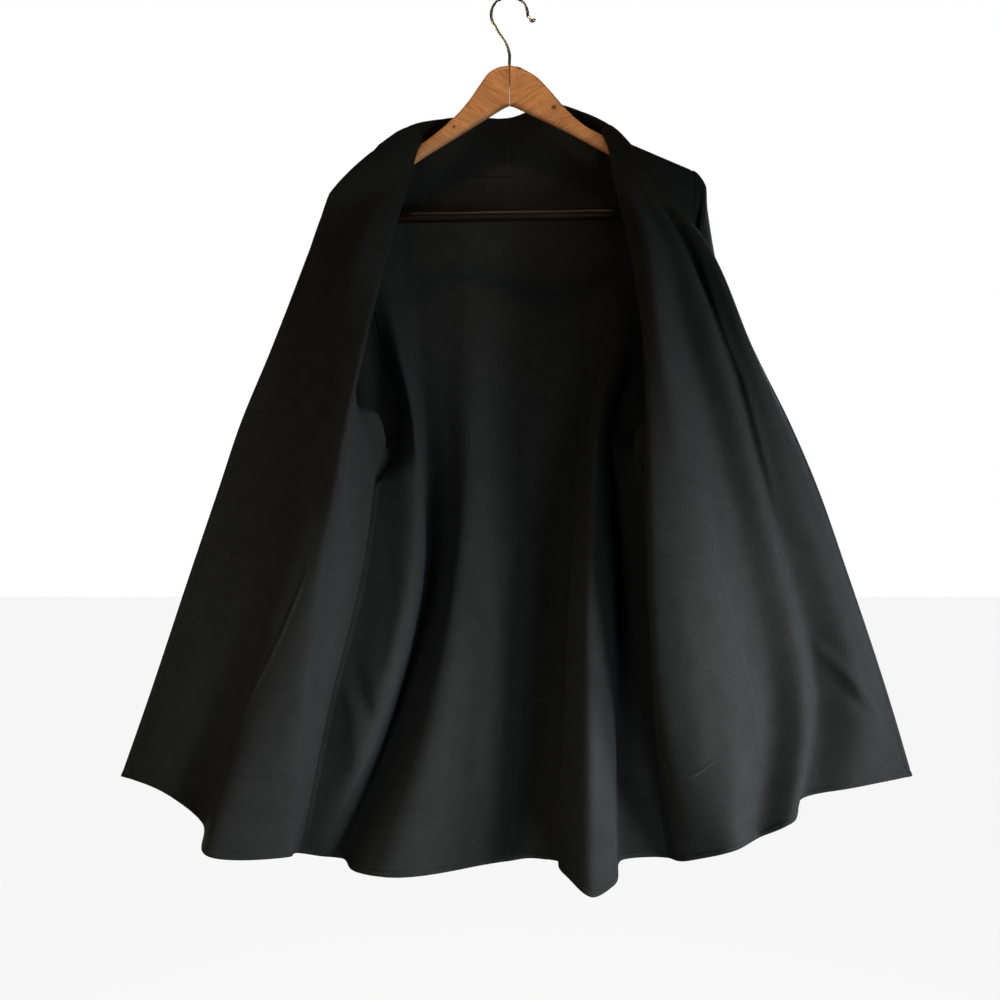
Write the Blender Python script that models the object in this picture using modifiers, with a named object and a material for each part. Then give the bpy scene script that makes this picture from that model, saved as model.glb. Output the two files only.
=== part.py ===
"""A long wool coat without a collar, hung wide open on a wooden hanger.

The hook's inner top is the origin. X runs to the wearer's left, Y away from
the viewer and Z up. The tables hold millimetres: each fold of the cloth is a
row, each column a height on the coat, and the walls are smooth surfaces
through those folds.
"""
import math

import bmesh
import bpy
import numpy as np
from mathutils import Vector

MM = 0.001

# The cloth and how its pieces meet
CLOTH = 2.4
POCKET_CLOTH = 1.2
SEAM_GAP = 0.3
SLEEVE_GAP = 1.0
TIGHT = 0.02
TIGHT_ROW = 0.06
REST_GAP = 0.6

# How far the seams open at a corner where the cloth turns sharply, and how far from it they are shut
NECK_OPEN = (3.0, 60.0)
UNDERARM_OPEN = (2.8, 120.0)

# The hanger
ARM_THICK = 12.0
ARM_ROUND = 5.5
JOINT_GAP = 0.3
WIRE = 1.65
HOOK_RADIUS = 20.5
SHANK_END = -98.0
BAR_RADIUS = 6.75
BAR_ENDS = ((-184.0, -246.0), (201.0, -240.0))
FIT_GAP = 0.3

# Each arm's outline apart from its straight upper edge, as across and height
RIGHT_ARM = {
    "top": -76.0,
    "neck": ((-11, -77.5), (-22, -83), (-33, -97), (-44, -113), (-56, -127.5), (-71, -142)),
    "end": ((-186, -208.5), (-191, -217), (-193, -230), (-192, -246), (-187, -254), (-179, -257), (-170, -252)),
    "under": ((-160, -236), (-146, -217), (-124, -198), (-106, -185.5), (-60, -156.5)),
    "crotch": -119.6,
}
LEFT_ARM = {
    "top": -76.0,
    "neck": ((12, -78), (21, -82.6), (31, -89), (41, -99), (52, -111.5), (63, -124), (74, -134.5), (86, -144)),
    "end": ((208, -199.5), (213, -208), (215, -220), (213, -239), (208, -247), (199, -250), (190, -246)),
    "under": ((180, -231), (166, -213), (140, -191), (108, -173.5), (60, -148)),
    "crotch": -119.6,
}

# The straight upper edge of each arm, from the neck to the end: across, height
RIGHT_ARM_TOP = ((-97.0, -162.5), (-180.0, -204.0))
LEFT_ARM_TOP = ((103.0, -153.0), (203.0, -195.6))

# How the cloth rides over an arm: its way out and its drop just beside the seam and at the collar
# level. Then the level where the side seam meets the armhole.
OVER_REACH = 9.5
OVER_DROP = 5.0
COLLAR_REACH = 21.0
COLLAR_DROP = 34.0
UNDERARM_LEVEL = 3

# Heights of the level rows
HEIGHTS = {"hip": -800, "waist": -640, "underarm": -545, "armpit": -480, "chest": -400, "yoke": -280}

# Folds of the wearer's right front: across and depth at each level, and the hem's own height.
#             hem                hip          waist        underarm     armpit       chest        yoke
RIGHT_FRONT = {
    "edge":   ((-441, 20, -876), (-413, 15),  (-356, 0),   (-322, -8),  (-298, -18), (-262, -30), (-213, -38)),
    "strip":  ((-394, 8, -889),  (-362, -2),  (-304, -22), (-270, -32), (-252, -38), (-231, -46), (-203, -48)),
    "trough": ((-350, 24, -929), (-318, -10), (-268, -40), (-243, -50), (-226, -58), (-205, -64), (-182, -60)),
    "band":   ((-329, -44, -947), (-284, -50), (-228, -80), (-200, -94), (-187, -98), (-172, -97), (-150, -78)),
    "roll":   ((-246, 2, -962),  (-226, -50), (-201, -90), (-180, -110), (-168, -113), (-151, -108), (-125, -70)),
    "inner":  ((-249, 30, -968), (-224, -5),  (-194, -30), (-179, -42), (-176, -62), (-168, -70), (-158, -54)),
    "side":   ((-245, 60, -975), (-208, 40),  (-168, 30),  (-154, 25),  (-168, -12), (-174, -26), (-180, -26)),
}

# Folds of the wearer's left front, whose free edge rolls over in one strip more
LEFT_FRONT = {
    "edge":    ((459, 25, -877), (433, 15),  (376, 0),    (339, -13),  (308, -24),  (264, -38),  (209, -42)),
    "strip":   ((390, 2, -884),  (392, -16), (346, -34),  (310, -46),  (285, -54),  (253, -64),  (202, -62)),
    "valley":  ((331, 18, -901), (344, 2),   (306, -30),  (275, -44),  (258, -50),  (234, -57),  (184, -48)),
    "crest":   ((305, -40, -914), (317, -52), (284, -74), (256, -88),  (238, -94),  (214, -94),  (176, -68)),
    "shallow": ((272, -20, -936), (287, -38), (254, -70), (230, -82),  (212, -87),  (188, -86),  (160, -68)),
    "band":    ((244, -46, -941), (221, -80), (192, -108), (173, -118), (164, -120), (152, -118), (141, -86)),
    "roll":    ((212, -18, -958), (165, -62), (150, -100), (145, -110), (143, -110), (139, -104), (125, -66)),
    "inner":   ((192, 12, -970), (163, -15), (157, -32),  (163, -42),  (170, -58),  (172, -66),  (166, -50)),
    "side":    ((182, 35, -973), (162, 33),  (156, 28),   (152, 25),   (167, -12),  (178, -26),  (194, -26)),
}

# Above the yoke a front is a strip from its roll line to its free edge, as far as the centre back:
# the roll line, the free edge, and how far and which way the strip swells between them
RIGHT_NECK = {
    "collar":  ((-108, -30, -205), (-190, -56, -229), (2, -6, 4)),
    "over":    ((-101, -11, -169), (-161, -56, -199), (3, -6, 6)),
    "neck":    ((-97, 0, -160),    (-132, -44, -172), (4, -8, 9)),
    "behind":  ((-97, 12, -168),   (-110, -14, -147), (3, 4, 6)),
    "quarter": ((-85, 30, -186),   (-74, 16, -130),   (0, 2, -2)),
    "half":    ((-45, 37, -190),   (-46, 28, -124),   (0, 2, -2)),
    "centre":  ((3, 41, -191),     (-2, 39, -122),    (0, 1, -1)),
}
LEFT_NECK = {
    "collar":  ((114, -30, -210),  (175, -60, -239),  (-2, -6, 4)),
    "over":    ((106, -11, -159),  (144, -56, -200),  (-3, -6, 8)),
    "neck":    ((103, 0, -150.5),  (130, -44, -178),  (-4, -8, 10)),
    "behind":  ((102, 12, -158.5), (111, -12, -146),  (-3, 4, 6)),
    "quarter": ((92, 30, -184),    (80, 16, -121),    (0, 2, -2)),
    "half":    ((50, 37, -190),    (50, 28, -109),    (0, 2, -2)),
    "centre":  ((3, 41, -191),     (-2, 39, -122),    (0, 1, -1)),
}

# Folds of the two halves of the back, from the centre seam out to the side
RIGHT_BACK = {
    "centre": ((-4, 84, -992),   (12, 88),    (13, 88),   (12, 84),    (10, 78),    (7, 68),     (4, 52)),
    "soft":   ((-150, 8, -986),  (-88, 26),   (-59, 40),  (-48, 45),   (-45, 46),   (-44, 46),   (-46, 44)),
    "slope":  ((-178, 28, -986), (-110, 56),  (-76, 74),  (-73, 74),   (-74, 70),   (-78, 62),   (-84, 48)),
    "trough": ((-198, 70, -984), (-128, 92),  (-94, 98),  (-96, 93),   (-99, 86),   (-106, 72),  (-116, 48)),
    "ridge":  ((-221, 62, -979), (-150, 22),  (-110, 6),  (-105, 5),   (-108, 9),   (-124, 26),  (-146, 36)),
    "side":   ((-245, 60, -975), (-208, 40),  (-168, 30), (-154, 25),  (-119, 44),  (-143, 48),  (-171, 34)),
}
LEFT_BACK = {
    "centre": RIGHT_BACK["centre"],
    "soft":   ((26, 100, -993),  (36, 104),   (38, 102),  (36, 98),    (36, 90),    (36, 78),    (34, 54)),
    "trough": ((48, 84, -990),   (58, 96),    (66, 98),   (70, 92),    (74, 84),    (82, 72),    (78, 52)),
    "tube":   ((63, -16, -978),  (68, -8),    (75, 2),    (84, 18),    (91, 28),    (104, 42),   (108, 46)),
    "crest":  ((89, -48, -991),  (88, -38),   (90, -24),  (95, -4),    (100, 10),   (116, 28),   (130, 40)),
    "fall":   ((113, -24, -987), (110, -16),  (107, -4),  (107, 12),   (109, 20),   (129, 30),   (150, 38)),
    "hollow": ((132, 44, -978),  (132, 60),   (132, 62),  (129, 48),   (115, 34),   (139, 40),   (170, 37)),
    "side":   ((182, 35, -973),  (162, 33),   (156, 28),  (152, 25),   (121, 44),   (147, 48),   (188, 34)),
}

# The back above the yoke, at the collar level, just under its top edge and on it. A fold that ends
# on the shoulder seam has only its place across, because there the cloth rides over the arm.
RIGHT_BACK_TOP = {
    "centre": ((4, 44, -222),    (3, 42, -200),    (3, 41, -191)),
    "soft":   ((-46, 40, -221),  (-45, 38, -199),  (-45, 37, -190)),
    "slope":  ((-88, 36, -218),  (-86, 32, -196),  (-85, 30, -186)),
    "trough": ((-112, 29, -212), (-104, 11, -168), (-97, 0, -160)),
    "ridge":  -139.0,
    "side":   -180.0,
}
LEFT_BACK_TOP = {
    "centre": RIGHT_BACK_TOP["centre"],
    "soft":   ((24, 45, -222),   (24, 42, -200),   (24, 40, -191)),
    "trough": ((52, 42, -221),   (50, 39, -199),   (50, 37, -190)),
    "tube":   ((92, 36, -216),   (92, 32, -194),   (92, 30, -184)),
    "crest":  ((118, 29, -206),  (110, 11, -158),  (103, 0, -150.5)),
    "fall":   136.0,
    "hollow": 170.0,
    "side":   203.0,
}

# Faces between one level and the next, and between one fold and the next
LEVEL_STEPS = {"hem": 4, "hip": 4, "waist": 2, "underarm": 2, "armpit": 2, "chest": 3, "yoke": 2, "collar": 1,
               "over": 2, "neck": 2, "behind": 2, "quarter": 2, "half": 2}
FRONT_STEPS = {"edge": 2, "strip": 2, "trough": 2, "valley": 2, "crest": 2, "shallow": 2, "band": 3, "roll": 2,
               "inner": 2}
RIGHT_BACK_STEPS = (2, 3, 3, 3, 3)
LEFT_BACK_STEPS = (1, 2, 3, 2, 2, 2, 2)

# How far the folds keep their sharp turn at the neck, level by level: the front's roll line and the
# back's neck point
ROLL_TURN = (0, 0, 0, 0, 0, 0, 0, 1, 1, 1, 1, 0, 0, 0)
NECK_TURN = (0, 0, 0, 0, 0, 0, 0, 0, 1, 1)

# A sleeve's rings below its armhole: centre (across, depth, height), half its reach across, in depth
# and in height, how far its top leans to the front, and how deep its three long hollows are
RIGHT_SLEEVE = {
    "cap":     ((-184, 13, -367), 12, 44, 153, 13, 0),
    "lip":     ((-191, 14, -374), 16, 46, 134, 12, 1),
    "under":   ((-207, 22, -412), 22, 51, 112, 8, 3),
    "upper":   ((-227, 32, -492), 38, 60, 70, 5, 6),
    "elbow":   ((-243, 40, -606), 49, 60, 18, 0, 7),
    "forearm": ((-254, 44, -706), 47, 56, 4, 0, 6),
    "cuff":    ((-267, 46, -792), 41, 54, -6, 0, 4),
}
LEFT_SLEEVE = {
    "cap":     ((198, 13, -362), 18, 44, 156, 13, 0),
    "lip":     ((201, 14, -370), 18, 46, 137, 12, 1),
    "under":   ((210, 22, -408), 20, 51, 114, 8, 3),
    "upper":   ((228, 32, -488), 38, 60, 72, 5, 6),
    "elbow":   ((234, 41, -604), 48, 58, 16, 0, 7),
    "forearm": ((236, 46, -706), 46, 54, 4, 0, 6),
    "cuff":    ((238, 48, -796), 41, 52, 6, 0, 4),
}
SLEEVE_STEPS = (1, 2, 1, 2, 2, 3, 2, 2)

# The pocket bags on the insides of the fronts: where each starts and ends on its front, in folds
# from the free edge at its top and at its foot, and in levels from the hem
RIGHT_POCKET = {"front": (3.0, 2.1), "back": 5.6, "foot": 0.72, "top": 2.0}
LEFT_POCKET = {"front": (4.72, 4.25), "back": 7.6, "foot": 0.75, "top": 2.0}

WOOL = (0.014, 0.013, 0.012, 1.0)
POCKETING = (0.012, 0.012, 0.012, 1.0)
CEDAR = (0.480, 0.156, 0.053, 1.0)
DARK_WOOD = (0.075, 0.028, 0.014, 1.0)
NICKEL = (0.560, 0.540, 0.500, 1.0)


def material(name, colour, roughness, metallic=0.0):
    made = bpy.data.materials.new(name)
    made.use_nodes = True
    shader = made.node_tree.nodes["Principled BSDF"]
    shader.inputs["Base Color"].default_value = colour
    shader.inputs["Roughness"].default_value = roughness
    shader.inputs["Metallic"].default_value = metallic
    return made


def collection(name):
    made = bpy.data.collections.new(name)
    bpy.context.scene.collection.children.link(made)
    return made


def place(name, data, made_of, into):
    thing = bpy.data.objects.new(name, data)
    if made_of:
        data.materials.append(made_of)
    into.objects.link(thing)
    return thing


# Smooth curves and surfaces through the folds

def through(points, at):
    """Cubic through points, whose last axes are place and xyz, read at the given places along it."""
    step = np.diff(points, axis=-2)
    chord = np.linalg.norm(step, axis=-1)[..., None]
    slope = step / chord
    tangent = np.empty_like(points)
    before, after = chord[..., :-1, :], chord[..., 1:, :]
    tangent[..., 1:-1, :] = (slope[..., :-1, :] * after + slope[..., 1:, :] * before) / (before + after)
    tangent[..., 0, :] = 1.5 * slope[..., 0, :] - 0.5 * tangent[..., 1, :]
    tangent[..., -1, :] = 1.5 * slope[..., -1, :] - 0.5 * tangent[..., -2, :]
    first = np.clip(np.floor(at).astype(int), 0, points.shape[-2] - 2)
    s = (at - first)[:, None]
    a, b = points[..., first, :], points[..., first + 1, :]
    length = chord[..., first, :]
    leave, arrive = tangent[..., first, :] * length, tangent[..., first + 1, :] * length
    value = a * (2 * s**3 - 3 * s**2 + 1) + b * (3 * s**2 - 2 * s**3)
    return value + leave * (s**3 - 2 * s**2 + s) + arrive * (s**3 - s**2)


def places(steps, start=0.0, end=0.0):
    """Places along a row of intervals, each cut into its steps, and one more close to either end."""
    at = [k + i / n for k, n in enumerate(steps) for i in range(n)] + [len(steps)]
    if start:
        at.insert(1, start)
    if end:
        at.insert(-1, len(steps) - end)
    return np.array(at, float)


def fold_curves(table, at, side):
    """Each fold's curve up the coat. The side turns sharply at the underarm, where its seam ends."""
    curves = through(np.swapaxes(table, 0, 1), at)
    line, corner = table[:, side], UNDERARM_LEVEL
    seam = through(line[:corner + 1], at[at <= corner])
    armhole = through(line[corner:], at[at > corner] - corner)
    curves[side] = np.vstack([seam, armhole])
    return np.swapaxes(curves, 0, 1)


def turned_through(curves, at, corner, sharpness):
    """A surface through curves that turns sharply at one of them, row by row as far as told."""
    smooth = through(curves, at)
    first = through(curves[:, :corner + 1], at[at <= corner])
    second = through(curves[:, corner:], at[at > corner] - corner)
    sharp = np.concatenate([first, second], axis=1)
    return smooth + sharpness[:, None, None] * (sharp - smooth)


def drawn_in(edge, inner, distance):
    """Edge points moved towards the points beside them."""
    way = inner - edge
    return edge + way * (distance / np.linalg.norm(way, axis=-1))[..., None]


def opened(points, corner, gap, widest, reach):
    """A seam's gap at each of its points, which opens towards a corner where the cloth turns sharply."""
    near = 1 - np.linalg.norm(points - corner, axis=-1) / reach
    return gap + widest * np.clip(near, 0, 1)


def wall(name, grid, made_of, into, thickness=CLOTH, is_cloth=None, ring=False):
    """A wall of even thickness over a grid of points, two triangles a cell."""
    rows, columns = grid.shape[:2]
    corners = []
    for r in range(rows - 1):
        for c in range(columns if ring else columns - 1):
            if is_cloth is None or is_cloth(r, c):
                here, over = r * columns + c, r * columns + (c + 1) % columns
                corners += [(here, over, over + columns), (here, over + columns, here + columns)]
    used = sorted({corner for face in corners for corner in face})
    number = {corner: k for k, corner in enumerate(used)}
    cloth = bmesh.new()
    points = [cloth.verts.new(p) for p in (grid.reshape(-1, 3)[used] * MM).tolist()]
    for face in corners:
        cloth.faces.new([points[number[corner]] for corner in face])
    cloth.normal_update()
    facing = np.zeros_like(grid).reshape(-1, 3)
    facing[used] = [tuple(point.normal) for point in points]
    bmesh.ops.remove_doubles(cloth, verts=cloth.verts, dist=0.00002)
    mesh = bpy.data.meshes.new(name)
    cloth.to_mesh(mesh)
    cloth.free()
    mesh.shade_smooth()
    thing = place(name, mesh, made_of, into)
    solid = thing.modifiers.new("wall", "SOLIDIFY")
    solid.thickness = thickness * MM
    solid.offset = 0.0
    return facing.reshape(grid.shape)


# Tables into arrays of points

def arm_height(across, line):
    (x0, z0), (x1, z1) = line
    return z0 + (across - x0) * (z1 - z0) / (x1 - x0)


def on_arm(across, line, depth=0.0, drop=0.0):
    """A point of the cloth's middle where it rests on an arm's upper edge."""
    (x0, z0), (x1, z1) = line
    rise = (CLOTH / 2 + REST_GAP) * math.hypot(x1 - x0, z1 - z0) / abs(x1 - x0)
    return (across, depth, arm_height(across, line) + rise - drop)


def lower_rows(folds):
    """The level rows from the hem to the yoke: level, fold, xyz."""
    rows = [[fold[0] for fold in folds.values()]]
    for k, height in enumerate(HEIGHTS.values()):
        rows.append([(*fold[k + 1], height) for fold in folds.values()])
    return rows


def neck_strip(roll, edge, swell, count):
    """Points from a front's free edge to its roll line, swelling out between them."""
    share = np.linspace(1.0, 0.0, count)[:, None]
    roll, edge = np.array(roll, float), np.array(edge, float)
    return roll + share * (edge - roll) + np.sin(math.pi * share) * np.array(swell, float)


def under_neckband(strip):
    """Two points of the back below a strip's roll line, which carry its curve on downwards."""
    return strip[-1] + np.array([(0.0, 2.0, -20.0), (0.0, 5.0, -60.0)])


def front_table(folds, neck, other_neck, line):
    """Every level of a front, and one beyond the centre back that keeps the neckband smooth there."""
    count = len(folds) - 2
    shoulder = line[1][0]
    middle = (line[0][0] + shoulder) / 2
    ride = {"over": (-OVER_REACH, OVER_DROP), "neck": (0.0, 0.0), "behind": (OVER_REACH, OVER_DROP)}
    ride["collar"] = (-COLLAR_REACH, COLLAR_DROP)
    rows = lower_rows(folds)
    for level, (roll, edge, swell) in neck.items():
        strip = neck_strip(roll, edge, swell, count)
        if level in ride:
            beyond = np.array([on_arm(x, line, *ride[level]) for x in (middle, shoulder)])
        else:
            beyond = under_neckband(strip)
        rows.append(np.vstack([strip, beyond]))
    strip = neck_strip(*other_neck["half"], count)
    rows.append(np.vstack([strip, under_neckband(strip)]))
    return np.array([np.array(row, float) for row in rows])


def back_table(folds, top, line):
    """Every level of a back half, and one beyond its top edge, on the front or its neckband."""
    ride = ((COLLAR_REACH, COLLAR_DROP), (OVER_REACH, OVER_DROP), (0.0, 0.0), (-OVER_REACH, OVER_DROP))
    rows = lower_rows(folds)
    for k, (depth, drop) in enumerate(ride):
        row = []
        for cell in top.values():
            if isinstance(cell, float):
                row.append(on_arm(cell, line, depth, drop))
            elif k < 3:
                row.append(cell[k])
            elif cell[2][1] == 0:
                row.append(on_arm(cell[2][0], line, depth, drop))
            else:
                row.append((cell[2][0], cell[2][1] - 1, cell[2][2] + 20))
        rows.append(row)
    return np.array(rows, float)


# The coat's panels

LOW_STEPS = [LEVEL_STEPS[level] for level in ("hem", *HEIGHTS, "collar", "over")]
HIGH_STEPS = [LEVEL_STEPS[level] for level in ("neck", "behind", "quarter", "half")]
LOW_ROWS = places(LOW_STEPS, end=TIGHT_ROW)
HIGH_ROWS = len(LOW_STEPS) + places(HIGH_STEPS, end=TIGHT)[1:]
UNDERARM_ROW = sum(LOW_STEPS[:UNDERARM_LEVEL])
NECK_ROW = len(LOW_ROWS) - 1


def with_neighbour(curves, beyond):
    """A front's or back's curves and, past its side, the curve that the next piece carries on with."""
    past = 2 * curves[:, -1] - curves[:, -2]
    seam = slice(0, UNDERARM_ROW + 1)
    past[seam] = beyond[seam]
    return np.concatenate([curves, past[:, None]], axis=1)


def front_grid(folds, curves, beyond):
    """A front from its free edge to its side, and above the neck row its neckband to the centre back."""
    steps = [FRONT_STEPS[name] for name in list(folds)[:-1]]
    fold = list(folds).index("roll")
    sharpness = np.interp(np.concatenate([LOW_ROWS, HIGH_ROWS]), np.arange(14), ROLL_TURN)
    grid = turned_through(with_neighbour(curves, beyond), places(steps, end=TIGHT), fold, sharpness)
    roll = sum(steps[:fold])
    seam = slice(0, UNDERARM_ROW + 1)
    half = SEAM_GAP / 2
    grid[seam, -1] = drawn_in(grid[seam, -1], grid[seam, -2], half)
    grid[NECK_ROW - 1, :roll] = (grid[NECK_ROW - 2, :roll] + grid[NECK_ROW, :roll]) / 2
    corner = grid[NECK_ROW, roll].copy()
    gap = opened(grid[NECK_ROW + 1:, roll], corner, half, *NECK_OPEN)
    grid[NECK_ROW, roll:] = drawn_in(grid[NECK_ROW, roll:], grid[NECK_ROW - 1, roll:], half)
    band = grid[NECK_ROW + 1:, roll - 3:roll + 1]
    band[:, 3] = drawn_in(band[:, 3], band[:, 0], gap)
    for k in (1, 2):
        band[:, k] = band[:, 0] + (band[:, 3] - band[:, 0]) * k / 3
    grid[-1] = drawn_in(grid[-1], grid[-2], half)
    return grid, roll


def shares(curve):
    """How far along a curve each of its points lies, from 0 to 1."""
    length = np.concatenate([[0.0], np.cumsum(np.linalg.norm(np.diff(curve, axis=0), axis=1))])
    return length / length[-1]


def back_grid(steps, curves, beyond_side, beyond_centre, neck_curve, neck_fold):
    """A back half from its centre seam to its side, under the shoulder seam and the neckband."""
    wide = np.concatenate([beyond_centre[:, None], with_neighbour(curves, beyond_side)], axis=1)
    fine = np.linspace(0, neck_fold, 200)
    top = through(wide[-1, :neck_fold + 2], fine + 1)
    at = places(steps, end=TIGHT)
    at = np.concatenate([np.interp(shares(neck_curve), shares(top), fine), at[at > neck_fold]])
    sharpness = np.interp(LOW_ROWS, np.arange(10), NECK_TURN)
    grid = turned_through(wide, at + 1, neck_fold + 1, sharpness)
    neck = slice(0, len(neck_curve))
    moved = neck_curve - grid[-1, neck]
    for row, share in ((-1, 1.0), (-2, 1.0), (-3, 0.8), (-4, 0.6), (-5, 0.4), (-6, 0.2)):
        grid[row, neck] += share * moved
    half = SEAM_GAP / 2
    seam = slice(0, UNDERARM_ROW + 1)
    grid[seam, -1] = drawn_in(grid[seam, -1], grid[seam, -2], half)
    grid[:, 0] = drawn_in(grid[:, 0], grid[:, 1], half)
    grid[-1, neck] = drawn_in(grid[-1, neck], grid[-3, neck], opened(neck_curve, neck_curve[-1], half, *NECK_OPEN))
    grid[-2, neck] = (grid[-1, neck] + grid[-3, neck]) / 2
    past = slice(len(neck_curve), None)
    grid[-1, past] = drawn_in(grid[-1, past], grid[-2, past], half)
    return grid


# The sleeves and pocket bags

def armhole(front, back, front_facing, back_facing):
    """The armhole's edge, from the shoulder down the back and up the front, and the way out of it."""
    rows = [*range(UNDERARM_ROW, NECK_ROW - 1), NECK_ROW]
    front_edge, back_edge = front[rows, -1], back[rows, -1]
    front_way, back_way = front_facing[rows, -1], back_facing[rows, -1]
    if (front_way[0] * back_way[0]).sum() < 0:
        back_way = -back_way
    top, corner = (front_edge[-1] + back_edge[-1]) / 2, (front_edge[0] + back_edge[0]) / 2
    loop = np.vstack([[top], back_edge[-2:0:-1], [corner], front_edge[1:-1]])
    facing = np.vstack([[front_way[-1] + back_way[-1]], back_way[-2:0:-1], [front_way[0] + back_way[0]],
                        front_way[1:-1]])
    run = np.roll(loop, -1, axis=0) - np.roll(loop, 1, axis=0)
    out = np.cross(run, facing)
    out /= np.linalg.norm(out, axis=1)[:, None]
    middle = loop.mean(axis=0)
    inward = ((loop - middle) * out).sum(axis=1).mean() > 0
    return loop, -out if inward else out


def sleeve_grid(loop, out, rings):
    """Rings from an armhole down to the cuff. A ring's first point is its outer or upper one."""
    count = len(loop)
    length = np.linalg.norm(np.roll(loop, -1, axis=0) - loop, axis=1)
    turn = 2 * math.pi * np.concatenate([[0.0], np.cumsum(length)[:-1]]) / length.sum()
    sign = math.copysign(1, loop[0, 0])
    underarm = loop[np.argmin(loop[:, 2])]
    gap = opened(loop, underarm, SLEEVE_GAP, *UNDERARM_OPEN)[:, None]
    stack = [loop + out * gap, loop + out * (gap + 3)]
    for centre, across, depth, rise, lean, hollow in rings.values():
        swell = 1 + hollow / across * np.cos(3 * turn + 0.6) * 0.5
        offset = np.stack([sign * across * np.cos(turn), depth * np.sin(turn), np.zeros(count)], axis=1)
        offset *= swell[:, None]
        offset += np.stack([np.zeros(count), -lean * np.cos(turn), rise * np.cos(turn)], axis=1)
        stack.append(np.array(centre, float) + offset)
    lines = np.stack(stack, axis=1)
    return np.swapaxes(through(lines, places(SLEEVE_STEPS)), 0, 1)


def pocket_bag(name, grid, facing, at_fold, at_level, pocket, made_of, into):
    """A thin bag laid on the inside of a front, from the front's own points moved out."""
    if facing[UNDERARM_ROW // 2, 4, 1] > 0:
        facing = -facing
    laid = grid + facing * (CLOTH / 2 + FIT_GAP + POCKET_CLOTH / 2)
    rows = np.flatnonzero((at_level >= pocket["foot"]) & (at_level <= pocket["top"]))
    high, low = pocket["front"]
    columns = np.flatnonzero((at_fold > min(high, low) - 0.6) & (at_fold <= pocket["back"]))
    bag = []
    for row in rows:
        rise = (at_level[row] - pocket["foot"]) / (pocket["top"] - pocket["foot"])
        start = low + (high - low) * rise
        at = np.maximum(at_fold[columns], start)
        bag.append([np.interp(at, at_fold, laid[row, :, k]) for k in range(3)])
    wall(name, np.array(bag).transpose(0, 2, 1), made_of, into, POCKET_CLOTH)


# The hanger

def mesh_of(thing, into):
    """A curve object made into a closed mesh, with its caps welded on."""
    bpy.context.view_layer.update()
    solid = bpy.data.meshes.new_from_object(thing.evaluated_get(bpy.context.evaluated_depsgraph_get()))
    made_of = thing.data.materials[0] if thing.data.materials else None
    name = thing.name
    bpy.data.objects.remove(thing)
    work = bmesh.new()
    work.from_mesh(solid)
    bmesh.ops.remove_doubles(work, verts=work.verts, dist=0.000005)
    bmesh.ops.recalc_face_normals(work, faces=work.faces)
    work.to_mesh(solid)
    work.free()
    return place(name, solid, None if solid.materials else made_of, into)


def wire(name, points, radius, made_of, into, radii=None, sides=2):
    path = bpy.data.curves.new(name, "CURVE")
    path.dimensions = "3D"
    path.bevel_depth = radius * MM
    path.bevel_resolution = sides
    path.use_fill_caps = True
    spline = path.splines.new("POLY")
    spline.points.add(len(points) - 1)
    for k, point in enumerate(points):
        spline.points[k].co = (*(np.array(point) * MM), 1)
        spline.points[k].radius = 1.0 if radii is None else radii[k]
    return place(name, path, made_of, into)


def flat_outline(name, points, thick, rounding, made_of, into):
    """A board cut to an outline that stands in the XZ plane, with rounded edges."""
    board = bmesh.new()
    front = [board.verts.new((x * MM, -thick / 2 * MM, z * MM)) for x, z in points]
    face = board.faces.new(front)
    pushed = bmesh.ops.extrude_face_region(board, geom=[face])
    moved = [v for v in pushed["geom"] if isinstance(v, bmesh.types.BMVert)]
    bmesh.ops.translate(board, verts=moved, vec=(0, thick * MM, 0))
    bmesh.ops.recalc_face_normals(board, faces=board.faces)
    mesh = bpy.data.meshes.new(name)
    board.to_mesh(mesh)
    board.free()
    thing = place(name, mesh, made_of, into)
    bevel = thing.modifiers.new("rounding", "BEVEL")
    bevel.width = rounding * MM
    bevel.segments = 3
    bevel.limit_method = "ANGLE"
    bevel.angle_limit = math.radians(60)
    return thing


def rod(name, start, end, radius, made_of, into, sides=20):
    """A round rod between two points in the XZ plane."""
    a, b = Vector((start[0], 0, start[1])) * MM, Vector((end[0], 0, end[1])) * MM
    bar = bmesh.new()
    bmesh.ops.create_cone(bar, cap_ends=True, segments=sides, radius1=radius * MM, radius2=radius * MM,
                          depth=(b - a).length)
    mesh = bpy.data.meshes.new(name)
    bar.to_mesh(mesh)
    bar.free()
    mesh.shade_smooth()
    mesh.set_sharp_from_angle(angle=math.radians(40))
    thing = place(name, mesh, made_of, into)
    thing.location = (a + b) / 2
    thing.rotation_euler = (b - a).to_track_quat("Z", "Y").to_euler()
    return thing


def cutter(thing):
    thing.hide_render = True
    thing.display_type = "WIRE"
    return thing


def cut(thing, tool):
    hole = thing.modifiers.new("hole", "BOOLEAN")
    hole.operation = "DIFFERENCE"
    hole.solver = "EXACT"
    hole.object = tool


def hook_path():
    """The shank up from the wood, a bend to the left, the round of the hook and its turned-out tip."""
    centre = -(HOOK_RADIUS - WIRE)
    points = [(0, 0, SHANK_END), (0, 0, -72), (0, 0, -63)]
    points += [(-1.5, 0, -57), (-4, 0, -51), (-8.5, 0, -44), (-13, 0, -37.5)]
    turns = 22
    for k in range(turns + 1):
        angle = math.radians(220 - 222 * k / turns)
        points.append((HOOK_RADIUS * math.cos(angle), 0, centre + HOOK_RADIUS * math.sin(angle)))
    points += [(22.5, 0, centre - 4), (25.5, 0, centre - 6), (28.5, 0, centre - 5.5)]
    radii = [1.0] * (len(points) - 3) + [1.3, 1.5, 1.0]
    return points, radii


def arm_outline(profile, line, sign):
    """Half the hanger: from the joint over the neck, along the shoulder, round the end and back below."""
    upper = [(sign * JOINT_GAP / 2, profile["top"]), *profile["neck"], *line, *profile["end"]]
    return [*upper, *profile["under"], (sign * JOINT_GAP / 2, profile["crotch"])]


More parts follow.
